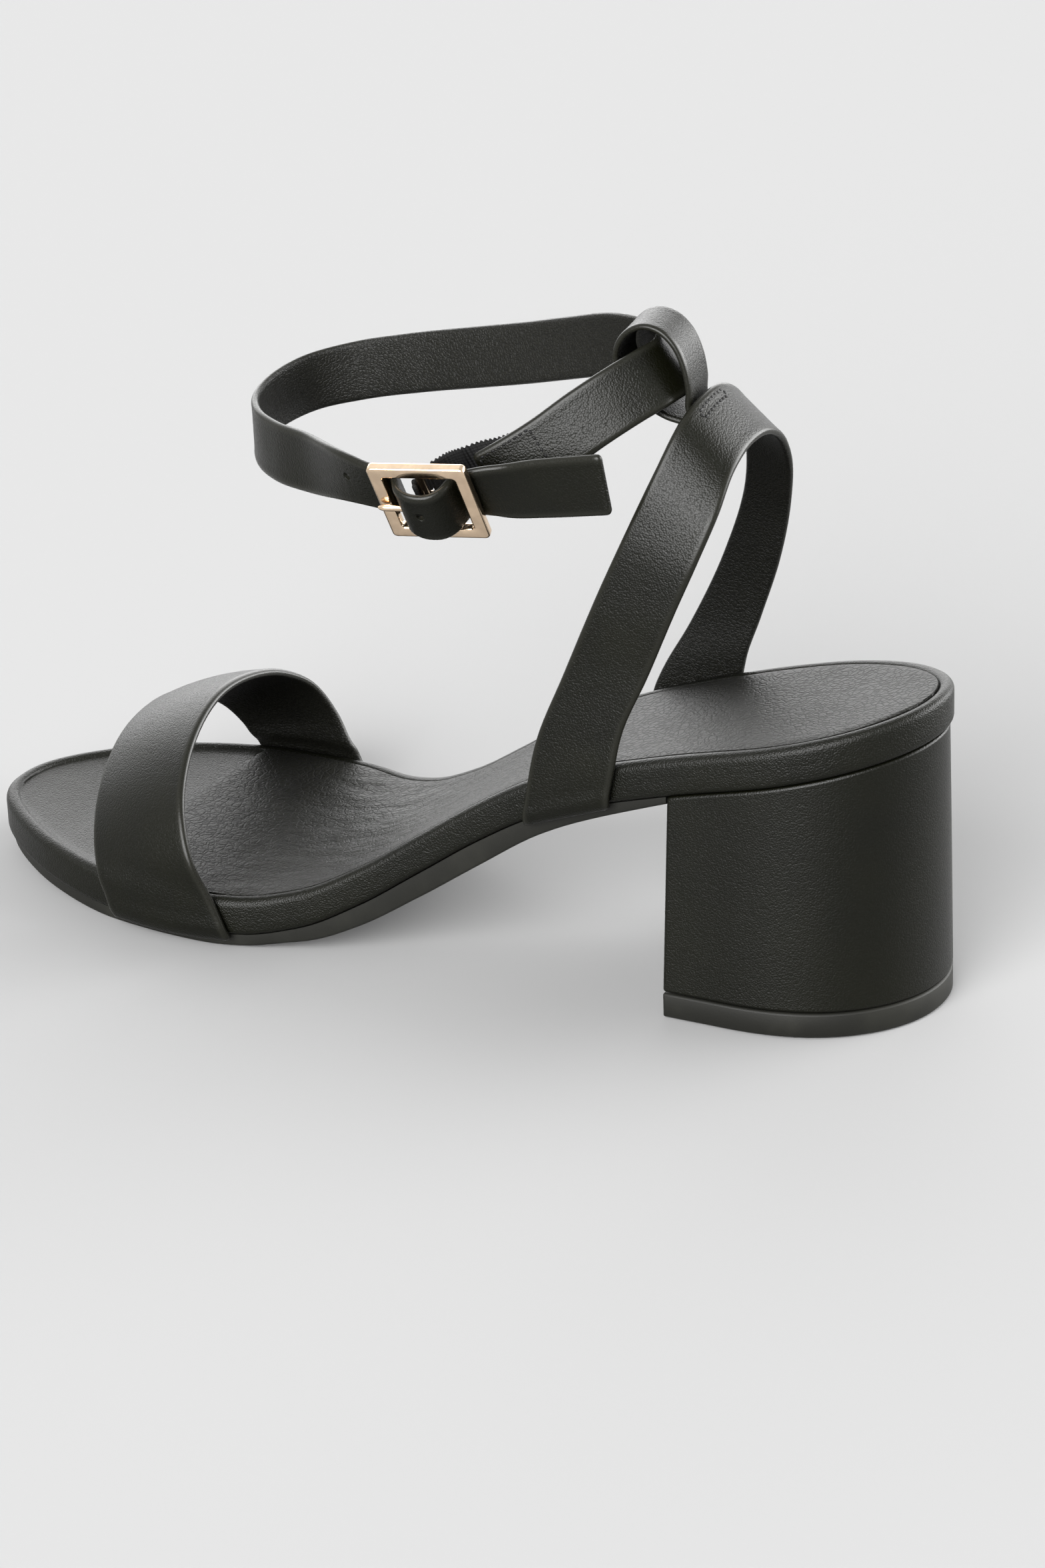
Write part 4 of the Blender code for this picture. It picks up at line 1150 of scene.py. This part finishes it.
def sock_piece():
    """Sock lining inside the footbed's rim, its front edge bowed to the toe."""
    inset = RIM_INSET + 2 * RIM_RISE + GAP
    rows_count = 120
    columns = 24
    start = turn_of(BACK_X)
    stop = turn_of(BACK_X - SOCK_LENGTH)
    mesh = bmesh.new()
    tops = []
    unders = []
    for i in range(rows_count + 1):
        turn = start + (stop - start) * i / rows_count
        lateral = edge_point(turn, -1, inset)
        medial = edge_point(turn, 1, inset)
        fade = max(0.0, i / rows_count - 0.8) / 0.2
        top = []
        under = []
        for j in range(columns + 1):
            p = lateral.lerp(medial, j / columns)
            x = p.x - SOCK_BOW * fade * (1 - (2 * j / columns - 1) ** 2)
            z = bed_top(x, p.y) - RIM_RISE + GAP
            soft = 0.0
            if j in (0, columns) or i == rows_count:
                soft = 0.4 * SOCK_THICK
            under.append(mesh.verts.new((x, p.y, z)))
            top.append(mesh.verts.new((x, p.y, z + SOCK_THICK - soft)))
        tops.append(top)
        unders.append(under)
    grid_faces(mesh, tops)
    grid_faces(mesh, unders)
    for i in range(rows_count):
        for j in (0, columns):
            mesh.faces.new((tops[i][j], tops[i + 1][j], unders[i + 1][j], unders[i][j]))
    for i in (0, rows_count):
        for j in range(columns):
            mesh.faces.new((tops[i][j], tops[i][j + 1], unders[i][j + 1], unders[i][j]))
    return piece_from("sock", mesh, 50.0)


def outsole_piece():
    """Rubber outsole from the heel's breast to the toe, its lower edge eased."""
    rows_count = 110
    columns = 10
    breast = BREAST_X - GAP
    start = turn_of(breast)
    mesh = bmesh.new()
    rings = []
    for i in range(rows_count + 1):
        turn = start + (1 - start) * i / rows_count
        lateral = edge_point(turn, -1, OUTSOLE_INSET)
        medial = edge_point(turn, 1, OUTSOLE_INSET)
        if i == 0:
            lateral.x = medial.x = breast
        ease = min(TREAD_EASE, 0.3 * (medial - lateral).length)

        def eased(corner, way, k):
            angle = math.pi / 2 * k / 3
            base = bed_under(corner.x) - GAP - outsole_thick(corner.x)
            side = corner.y + way * ease * (1 - math.cos(angle))
            return corner.x, side, base + TREAD_EASE * (1 - math.sin(angle))

        ring = []
        for j in range(columns + 1):
            p = lateral.lerp(medial, j / columns)
            ring.append((p.x, p.y, bed_under(p.x) - GAP))
        ring += [eased(medial, -1, k) for k in range(4)]
        for j in range(columns - 1, 0, -1):
            p = lateral.lerp(medial, j / columns)
            ring.append((p.x, p.y, bed_under(p.x) - GAP - outsole_thick(p.x)))
        ring += [eased(lateral, 1, k) for k in range(3, -1, -1)]
        rings.append([mesh.verts.new(p) for p in ring])
    wall_faces(mesh, rings)
    mesh.faces.new(rings[0])
    mesh.faces.new(rings[-1][::-1])
    return piece_from("outsole_rubber", mesh, 50.0)


def block_piece(name, levels, height_of, count=44):
    """Stacked D shaped rings, back half round and breast flat, closed above and below."""
    stop = turn_of(BREAST_X)
    mesh = bmesh.new()
    rings = []
    for share, inset, back, breast in levels:
        arms = []
        for side in (-1, 1):
            arm = [edge_point(stop * i / count, side, inset) for i in range(count + 1)]
            arm[-1].x = breast
            for p in arm:
                p.x += back * max(p.x - BREAST_X, 0.0) / HEEL_LENGTH
            arms.append(arm)
        ring = arms[0][::-1] + arms[1][1:]
        rings.append([mesh.verts.new((p.x, p.y, height_of(share, p.x))) for p in ring])
    wall_faces(mesh, rings)
    mesh.faces.new(rings[0])
    mesh.faces.new(rings[-1][::-1])
    piece = piece_from(name, mesh, 35.0)
    round_off = piece.modifiers.new("edges", "BEVEL")
    round_off.width = BLOCK_ROUND
    round_off.segments = 3
    round_off.limit_method = "ANGLE"
    round_off.angle_limit = math.radians(50)
    return piece


def heel_piece():
    """Covered heel block, flared to the floor."""
    foot = LIFT_THICK + GAP
    levels = []
    for k in range(13):
        share = k / 12
        inset = HEEL_INSET - HEEL_FLARE * (1 - share)
        back = (HEEL_BACK_FLARE - HEEL_FLARE) * (1 - share)
        levels.append((share, inset, back, BREAST_X - BREAST_SLOPE * (1 - share)))
    return block_piece("heel_cover", levels,
                       lambda share, x: foot + (bed_under(x) - GAP - foot) * share)


def lift_piece():
    """Rubber top lift under the heel."""
    inset = HEEL_INSET - HEEL_FLARE
    back = HEEL_BACK_FLARE - HEEL_FLARE
    breast = BREAST_X - BREAST_SLOPE
    levels = [(0.0, inset + 0.5 * TREAD_ROUND, back, breast), (0.08, inset, back, breast),
              (0.92, inset, back, breast), (1.0, inset + 0.25 * TREAD_ROUND, back, breast)]
    return block_piece("top_lift_rubber", levels, lambda share, x: LIFT_THICK * share)


def poly_line(curve, points):
    """A line through points of a curve, open."""
    line = curve.splines.new("POLY")
    line.points.add(len(points) - 1)
    for point, place in zip(line.points, points):
        point.co = (*place, 1)
    return line


def outline_spline(curve, length, height, corner):
    """A rectangle with rounded corners as one poly spline."""
    points = []
    for k, (sx, sy) in enumerate(((1, 1), (-1, 1), (-1, -1), (1, -1))):
        for j in range(9):
            angle = math.pi / 2 * (k + j / 8)
            points.append((sx * (length / 2 - corner) + corner * math.cos(angle),
                           sy * (height / 2 - corner) + corner * math.sin(angle), 0))
    poly_line(curve, points).use_cyclic_u = True


def evaluated_mesh(item):
    """A new mesh of an object in the scene, as its modifiers leave it."""
    bpy.context.view_layer.update()
    graph = bpy.context.evaluated_depsgraph_get()
    return bpy.data.meshes.new_from_object(item.evaluated_get(graph))


def mesh_of_curve(curve):
    """The mesh of a curve, taken through an object that is removed again."""
    holder = bpy.data.objects.new(curve.name, curve)
    bpy.context.scene.collection.objects.link(holder)
    data = evaluated_mesh(holder)
    bpy.data.objects.remove(holder)
    mesh = bmesh.new()
    mesh.from_mesh(data)
    bpy.data.meshes.remove(data)
    return mesh


def buckle_piece():
    """Flat rectangular frame, bevelled all round, with its middle bar."""
    curve = bpy.data.curves.new("buckle_outline", "CURVE")
    curve.dimensions = "2D"
    curve.fill_mode = "BOTH"
    curve.extrude = BUCKLE_DEPTH / 2 - BUCKLE_BEVEL
    curve.bevel_depth = BUCKLE_BEVEL
    curve.bevel_resolution = 4
    curve.offset = -BUCKLE_BEVEL
    outline_spline(curve, BUCKLE_LENGTH, BUCKLE_HEIGHT, BUCKLE_CORNER)
    outline_spline(curve, BUCKLE_LENGTH - 2 * BUCKLE_BAR, BUCKLE_HEIGHT - 2 * BUCKLE_BAR,
                   0.6 * BUCKLE_CORNER)
    mesh = mesh_of_curve(curve)
    turned = Matrix.Rotation(math.pi / 2, 4, "X")
    bmesh.ops.create_cone(mesh, cap_ends=True, segments=24, radius1=AXLE_RADIUS, radius2=AXLE_RADIUS,
                          depth=BUCKLE_HEIGHT - BUCKLE_BAR, matrix=turned)
    mesh.transform(buckle_matrix())
    return piece_from("buckle", mesh, 32.0)


def prong_piece():
    """Round prong with its eye on the middle bar and its tip on the front bar."""
    eye = AXLE_RADIUS + GAP + PRONG_RADIUS
    points = []
    for k in range(10):
        angle = math.radians(215 + 26 * k)
        points.append((eye * math.cos(angle), 0.0, eye * math.sin(angle)))
    rest = BUCKLE_DEPTH / 2 + GAP + PRONG_RADIUS
    half = BUCKLE_LENGTH / 2
    for share, height in ((-0.34, 1.04), (-0.55, 1.02), (-0.80, 1.0), (-0.98, 0.98)):
        points.append((share * half, 0.0, rest * height))
    points = spline(points, 4)
    curve = bpy.data.curves.new("prong_line", "CURVE")
    curve.dimensions = "3D"
    curve.bevel_depth = PRONG_RADIUS
    curve.bevel_resolution = 5
    curve.use_fill_caps = True
    tip = poly_line(curve, points).points[-3:]
    for point, share in zip(tip, (0.95, 0.80, 0.45)):
        point.radius = share
    mesh = mesh_of_curve(curve)
    mesh.transform(buckle_matrix())
    return piece_from("prong", mesh, 60.0)


def strap_place(strap, along, across):
    """A place in the middle of a strap's thickness, its Z outward and its X along."""
    middle = strap.point(along, across, strap.thick / 2)
    out = strap.frame(along)[2]
    ahead = strap.point(along + 0.0004, across, 0)
    behind = strap.point(along - 0.0004, across, 0)
    way = (ahead - behind).normalized()
    side = out.cross(way).normalized()
    way = side.cross(out).normalized()
    return Matrix.Translation(middle) @ Matrix((way, side, out)).transposed().to_4x4()


def punch(piece, holes):
    """Round cuts through a piece in the scene, each a place with Z down it, a radius, a depth."""
    for place, radius, depth in holes:
        mesh = bmesh.new()
        bmesh.ops.create_cone(mesh, cap_ends=True, segments=28, radius1=radius, radius2=radius,
                              depth=depth, matrix=place)
        data = bpy.data.meshes.new("punch")
        mesh.to_mesh(data)
        mesh.free()
        tool = bpy.data.objects.new("punch", data)
        bpy.context.scene.collection.objects.link(tool)
        cut = piece.modifiers.new("hole", "BOOLEAN")
        cut.operation = "DIFFERENCE"
        cut.solver = "EXACT"
        cut.object = tool
        old = piece.data
        cleaned = evaluated_mesh(piece)
        piece.modifiers.clear()
        piece.data = cleaned
        bpy.data.meshes.remove(old)
        bpy.data.objects.remove(tool)


def seam(start, stop, low, high):
    """A rectangle of sewing, as a closed run of (along, across) points."""
    return [(start, high), (stop, high), (stop, low), (start, low), (start, high)]


def sew(name, strap, run, sizes):
    """Stitches along a run on a strap's outer face, put in the scene."""
    mesh = bmesh.new()
    radius = sizes.thread_radius
    for (u0, v0), (u1, v1) in zip(run, run[1:]):
        turned = Matrix.Rotation(math.atan2(v1 - v0, u1 - u0), 4, "Z")
        sized = Matrix.Diagonal((sizes.stitch_length / 2, radius, radius * 0.8, 1))
        count = max(round(math.hypot(u1 - u0, v1 - v0) / sizes.stitch_pitch), 1)
        for k in range(count):
            t = (k + 0.5) / count
            place = strap_place(strap, u0 + (u1 - u0) * t, v0 + (v1 - v0) * t)
            place = place @ Matrix.Translation((0, 0, strap.thick / 2 - radius * 0.3))
            place = place @ turned @ sized @ Matrix.Rotation(math.pi / 2, 4, "Y")
            bmesh.ops.create_uvsphere(mesh, u_segments=10, v_segments=6, radius=1.0, matrix=place)
    settle(piece_from(name, mesh, 80.0), finish_of(black_thread), "elastic_black")


def length_value(name, description, default, least):
    return bpy.props.FloatProperty(name=name, description=description, default=default, min=least,
                                   unit="LENGTH", precision=5)


def shift_value(name, description, default):
    return bpy.props.FloatProperty(name=name, description=description, default=default,
                                   unit="LENGTH", precision=4)


def factor_value(name, description, default):
    return bpy.props.FloatProperty(name=name, description=description, default=default, min=0.0,
                                   max=1.0, subtype="FACTOR")


def colour_value(name, description, default):
    return bpy.props.FloatVectorProperty(name=name, description=description, default=default,
                                         min=0.0, max=1.0, subtype="COLOR")


def angle_value(name, description, degrees):
    return bpy.props.FloatProperty(name=name, description=description,
                                   default=math.radians(degrees), subtype="ANGLE")


def strength_value(name, description, default):
    return bpy.props.FloatProperty(name=name, description=description, default=default, min=0.0)


class SandalSizes(bpy.types.PropertyGroup):
    """Sizes that a user would change."""

    stitch_pitch: length_value("Stitch pitch", "Length of one stitch and its gap", 0.0014, 0.0005)
    stitch_length: length_value(
        "Stitch length", "Length of thread that shows in one stitch", 0.0010, 0.0003)
    thread_radius: length_value("Thread radius", "Radius of the sewing thread", 0.00032, 0.0001)
    rib_pitch: length_value("Rib pitch", "Distance between the elastic's ribs", 0.00105, 0.0004)
    strap_step: length_value("Strap step", "Distance between a strap's sections", 0.0007, 0.0002)


class SandalLook(bpy.types.PropertyGroup):
    """Colours and gloss of the sandal's materials."""

    leather: colour_value("Leather", "Colour of the pebbled leather", (0.0018, 0.0019, 0.0005))
    leather_dark: colour_value(
        "Leather, dark", "Colour of its darker patches", (0.0012, 0.0013, 0.0004))
    # The edge colour is lighter than the leather: a painted highlight along the burnished edges.
    leather_edge: colour_value(
        "Leather edge", "Colour of the burnished strap edges", (0.008, 0.008, 0.006))
    leather_rough: factor_value("Leather roughness", "Roughness of the pebbled leather", 0.31)
    grain_size: length_value(
        "Grain size", "Distance across one pebble of the grain", 0.00042, 0.0002)
    lining: colour_value("Lining", "Colour of the lining and the sock", (0.0040, 0.0040, 0.0026))
    # Painted shade in the creases of the lining and the sock.
    lining_dark: colour_value(
        "Lining creases", "Colour in the lining's creases", (0.0016, 0.0016, 0.0011))
    lining_light: colour_value(
        "Lining, rubbed", "Colour of the sock's rubbed patches", (0.0085, 0.0085, 0.0065))
    lining_rough: factor_value("Lining roughness", "Roughness of the lining and the sock", 0.49)
    rubber: colour_value("Rubber", "Colour of the outsole and the top lift", (0.005, 0.005, 0.0038))
    rubber_rough: factor_value("Rubber roughness", "Roughness of the rubber", 0.55)
    gold: colour_value("Gold", "Colour of the buckle's plate", (0.90, 0.69, 0.49))
    gold_rough: factor_value("Gold roughness", "Roughness of the buckle's plate", 0.13)
    elastic: colour_value("Elastic", "Colour of the ribbed elastic", (0.003, 0.003, 0.003))
    thread: colour_value("Thread", "Colour of the sewing thread", (0.0015, 0.0015, 0.0015))


class SandalStage(bpy.types.PropertyGroup):
    """Camera, floor and lights."""

    azimuth: angle_value("Azimuth", "Angle of the camera round the shoe", 27.26)
    elevation: angle_value("Elevation", "Angle of the camera over the floor", 24.55)
    roll: angle_value("Roll", "Tilt of the camera about its own line of sight", -2.04)
    distance: bpy.props.FloatProperty(
        name="Distance", description="Distance from the shoe to the camera",
        default=1.0, min=0.1, unit="LENGTH")
    lens: bpy.props.FloatProperty(
        name="Lens", description="Focal length in millimetres", default=103.26, min=10.0)
    target: bpy.props.FloatVectorProperty(
        name="Target", description="Point that the camera is set out from", subtype="XYZ",
        default=(-0.09105, 0.0, 0.060))
    across: shift_value(
        "Shift across", "How far the camera stands to the side of the target", 0.0149)
    down: shift_value("Shift down", "How far the camera stands below the target's line", 0.0265)
    floor: colour_value("Floor", "Colour of the floor", (0.245, 0.245, 0.245))
    sky: strength_value("Room light", "Strength of the even light of the room", 0.70)
    back_light: strength_value("Back light", "Strength of the soft light behind the shoe", 4.2)
    toe_light: strength_value("Toe light", "Strength of the soft light over the toe", 0.6)
    heel_light: strength_value("Heel light", "Strength of the soft light past the heel", 15.0)
    front_light: strength_value("Front light", "Strength of the softbox by the camera", 19.0)


class BuildOperator:
    """What the operators of the pieces share: each builds from the scene's sizes."""

    def execute(self, context):
        self.build(context.scene.sandal_sizes)
        return {"FINISHED"}


class SANDAL_OT_footbed(BuildOperator, bpy.types.Operator):
    """Build the leather wrapped footbed"""

    bl_idname = "sandal.footbed"
    bl_label = "Footbed"

    def build(self, sizes):
        settle(footbed_piece(), finish_of(wrap_leather), "leather_black", "footbed")


class SANDAL_OT_sock(BuildOperator, bpy.types.Operator):
    """Build the sock lining under the foot"""

    bl_idname = "sandal.sock"
    bl_label = "Sock lining"

    def build(self, sizes):
        settle(sock_piece(), finish_of(sock_leather), "leather_lining", "sock_lining")


class SANDAL_OT_outsole(BuildOperator, bpy.types.Operator):
    """Build the rubber outsole and the heel's top lift"""

    bl_idname = "sandal.outsole"
    bl_label = "Outsole and top lift"

    def build(self, sizes):
        rubber = finish_of(sole_rubber)
        settle(outsole_piece(), rubber, "sole_black", "outsole")
        settle(lift_piece(), rubber, "sole_black", "top_lift")


class SANDAL_OT_heel(BuildOperator, bpy.types.Operator):
    """Build the covered heel block"""

    bl_idname = "sandal.heel"
    bl_label = "Heel block"

    def build(self, sizes):
        settle(heel_piece(), finish_of(heel_leather), "leather_black", "heel_block")


class SANDAL_OT_vamp(BuildOperator, bpy.types.Operator):
    """Build the broad strap over the toes"""

    bl_idname = "sandal.vamp"
    bl_label = "Toe strap"

    def build(self, sizes):
        piece = vamp_surface().piece("toe_strap", step=sizes.strap_step)
        settle(piece, finish_of(strap_leather), "leather_black", "vamp_strap")


class SANDAL_OT_quarter(BuildOperator, bpy.types.Operator):
    """Build the arched strap over the heel, with its tacked crest"""

    bl_idname = "sandal.quarter"
    bl_label = "Arched strap"

    def build(self, sizes):
        strap = quarter_surface()
        piece = strap.piece("arched_strap", step=sizes.strap_step)
        settle(piece, finish_of(strap_leather), "leather_black", "quarter_strap")
        middle = strap.length() * 0.5
        run = seam(middle - CREST_SEAM_FRONT, middle + CREST_SEAM_BACK,
                   QUARTER_WIDTH - CREST_SEAM_LOW, QUARTER_WIDTH - CREST_SEAM_HIGH)
        sew("crest_stitches", strap, run, sizes)


class SANDAL_OT_loop(BuildOperator, bpy.types.Operator):
    """Build the keeper loop round the ankle strap"""

    bl_idname = "sandal.loop"
    bl_label = "Keeper loop"

    def build(self, sizes):
        piece = loop_surface().piece("keeper", corner=0.0006, step=sizes.strap_step)
        settle(piece, finish_of(strap_leather), "leather_black", "keeper_loop")


class SANDAL_OT_ankle(BuildOperator, bpy.types.Operator):
    """Build the ankle strap with its holes and its stitched end"""

    bl_idname = "sandal.ankle"
    bl_label = "Ankle strap"

    def build(self, sizes):
        strap = ankle_surface()
        piece = strap.piece("ankle_band", step=sizes.strap_step)
        settle(piece, finish_of(strap_leather), "leather_black", "ankle_strap")
        pin = (-PRONG_HOLE * BUCKLE_LENGTH / 2, 0, BUCKLE_DEPTH / 2 + GAP + PRONG_RADIUS)
        pin_hole = buckle_matrix() @ Matrix.Translation(pin) @ Matrix.Rotation(math.pi / 2, 4, "Y")
        holes = [(pin_hole, PRONG_RADIUS + HOLE_GAP, PIN_HOLE_DEPTH)]
        for share in (CREST_HOLE, SPARE_HOLE):
            place = strap_place(strap, share * strap.length(), HOLE_ACROSS * STRAP_WIDTH)
            holes.append((place, STRAP_HOLE / 2, HOLE_DEPTH))
        punch(piece, holes)
        run = seam(END_SEAM_START, END_SEAM_STOP, END_SEAM_LOW, STRAP_WIDTH - END_SEAM_HIGH)
        sew("end_stitches", strap, run, sizes)


class SANDAL_OT_gore(BuildOperator, bpy.types.Operator):
    """Build the ribbed elastic between the buckle and the strap's end"""

    bl_idname = "sandal.gore"
    bl_label = "Elastic"

    def build(self, sizes):
        pitch = sizes.rib_pitch
        piece = gore_surface().piece("elastic", corner=0.0004, step=pitch / 8, rib=pitch)
        settle(piece, finish_of(ribbed_elastic), "elastic_black", "elastic_gore")
        slot = buckle_matrix() @ Matrix.Rotation(math.radians(90), 4, "X")
        reach = AXLE_RADIUS + 3 * GAP + 2 * PRONG_RADIUS
        punch(piece, ((slot, reach, 2 * (PRONG_RADIUS + GAP)),))


class SANDAL_OT_buckle(BuildOperator, bpy.types.Operator):
    """Build the buckle's frame and its prong"""

    bl_idname = "sandal.buckle"
    bl_label = "Buckle"

    def build(self, sizes):
        gold = finish_of(pale_gold)
        settle(buckle_piece(), gold, "metal_pale_gold", "buckle_frame")
        settle(prong_piece(), gold, "metal_pale_gold", "buckle_prong")


def studio_world(stage):
    """An even pale room with the soft glows of the table."""
    world = bpy.data.worlds.new("studio")
    world.use_nodes = True
    graph = Graph(world.node_tree)
    way = graph.add("ShaderNodeTexCoord", {}, {}, "Generated")
    light = graph.add("ShaderNodeValue", {}, {})
    light.socket.default_value = stage.sky
    for name, toward, wide, narrow in GLOWS:
        aim = Vector(toward).normalized()
        facing = graph.vector("DOT_PRODUCT", {0: way, 1: aim}, "Value")
        light = light + facing.spread(wide, narrow, 0.0, getattr(stage, name))
    background = graph.nodes["Background"]
    background.inputs["Color"].default_value = (1.0, 1.0, 1.0, 1.0)
    graph.links.new(light.socket, background.inputs["Strength"])
    return world


def floor_plane(stage):
    """A wide plain floor just under the shoe."""
    mesh = bmesh.new()
    bmesh.ops.create_grid(mesh, x_segments=4, y_segments=4, size=FLOOR_REACH)
    data = bpy.data.meshes.new("floor")
    mesh.to_mesh(data)
    mesh.free()
    floor = bpy.data.objects.new("floor", data)
    floor.location.z = -FLOOR_DROP
    paint = Finish("floor_paint", stage.floor, FLOOR_ROUGH, specular=0.0)
    data.materials.append(paint.material)
    return floor


def studio_camera(stage):
    """A camera at the panel's angles and shifts, turned about its line of sight by the roll."""
    cos_a, sin_a = math.cos(stage.azimuth), math.sin(stage.azimuth)
    cos_e, sin_e = math.cos(stage.elevation), math.sin(stage.elevation)
    cos_r, sin_r = math.cos(stage.roll), math.sin(stage.roll)
    back_way = Vector((sin_a * cos_e, -cos_a * cos_e, sin_e))
    right = Vector((cos_a, sin_a, 0.0))
    up = Vector((-sin_a * sin_e, cos_a * sin_e, cos_e))
    eye = Vector(stage.target) + right * stage.across - up * stage.down
    eye = eye + back_way * stage.distance
    data = bpy.data.cameras.new("camera")
    data.sensor_width = 36.0
    data.lens = stage.lens
    data.clip_start = 0.01
    camera = bpy.data.objects.new("camera", data)
    axes = (right * cos_r + up * sin_r, up * cos_r - right * sin_r, back_way)
    camera.matrix_world = Matrix.Translation(eye) @ Matrix(axes).transposed().to_4x4()
    return camera


class SANDAL_OT_stage(bpy.types.Operator):
    """Set the floor, the lights and the camera"""

    bl_idname = "sandal.stage"
    bl_label = "Stage"

    def execute(self, context):
        scene = context.scene
        floor = floor_plane(scene.sandal_stage)
        scene.collection.objects.link(floor)
        scene.world = studio_world(scene.sandal_stage)
        scene.view_settings.view_transform = "Standard"
        scene.camera = studio_camera(scene.sandal_stage)
        scene.collection.objects.link(scene.camera)
        return {"FINISHED"}


class SANDAL_PT_pieces(bpy.types.Panel):
    """Sizes, colours and pieces of the sandal"""

    bl_idname = "SANDAL_PT_pieces"
    bl_label = "Block heel sandal"
    bl_space_type = "VIEW_3D"
    bl_region_type = "UI"
    bl_category = "Sandal"

    def draw(self, context):
        layout = self.layout
        scene = context.scene
        for group in (scene.sandal_sizes, scene.sandal_look, scene.sandal_stage):
            box = layout.box()
            for key in group.__annotations__:
                box.prop(group, key)
        for operator in OPERATORS:
            layout.operator(operator.bl_idname)


GROUPS = (SandalSizes, SandalLook, SandalStage)
OPERATORS = (
    SANDAL_OT_stage,
    SANDAL_OT_footbed,
    SANDAL_OT_sock,
    SANDAL_OT_outsole,
    SANDAL_OT_heel,
    SANDAL_OT_vamp,
    SANDAL_OT_quarter,
    SANDAL_OT_loop,
    SANDAL_OT_ankle,
    SANDAL_OT_gore,
    SANDAL_OT_buckle,
)


def register():
    for made in (*GROUPS, *OPERATORS, SANDAL_PT_pieces):
        bpy.utils.register_class(made)
    bpy.types.Scene.sandal_sizes = bpy.props.PointerProperty(type=SandalSizes)
    bpy.types.Scene.sandal_look = bpy.props.PointerProperty(type=SandalLook)
    bpy.types.Scene.sandal_stage = bpy.props.PointerProperty(type=SandalStage)


def unregister():
    del bpy.types.Scene.sandal_stage
    del bpy.types.Scene.sandal_look
    del bpy.types.Scene.sandal_sizes
    for made in (SANDAL_PT_pieces, *OPERATORS[::-1], *GROUPS[::-1]):
        bpy.utils.unregister_class(made)


def main():
    register()
    for operator in OPERATORS:
        group, name = operator.bl_idname.split(".")
        getattr(getattr(bpy.ops, group), name)()
    bpy.context.view_layer.update()


if __name__ == "__main__":
    main()
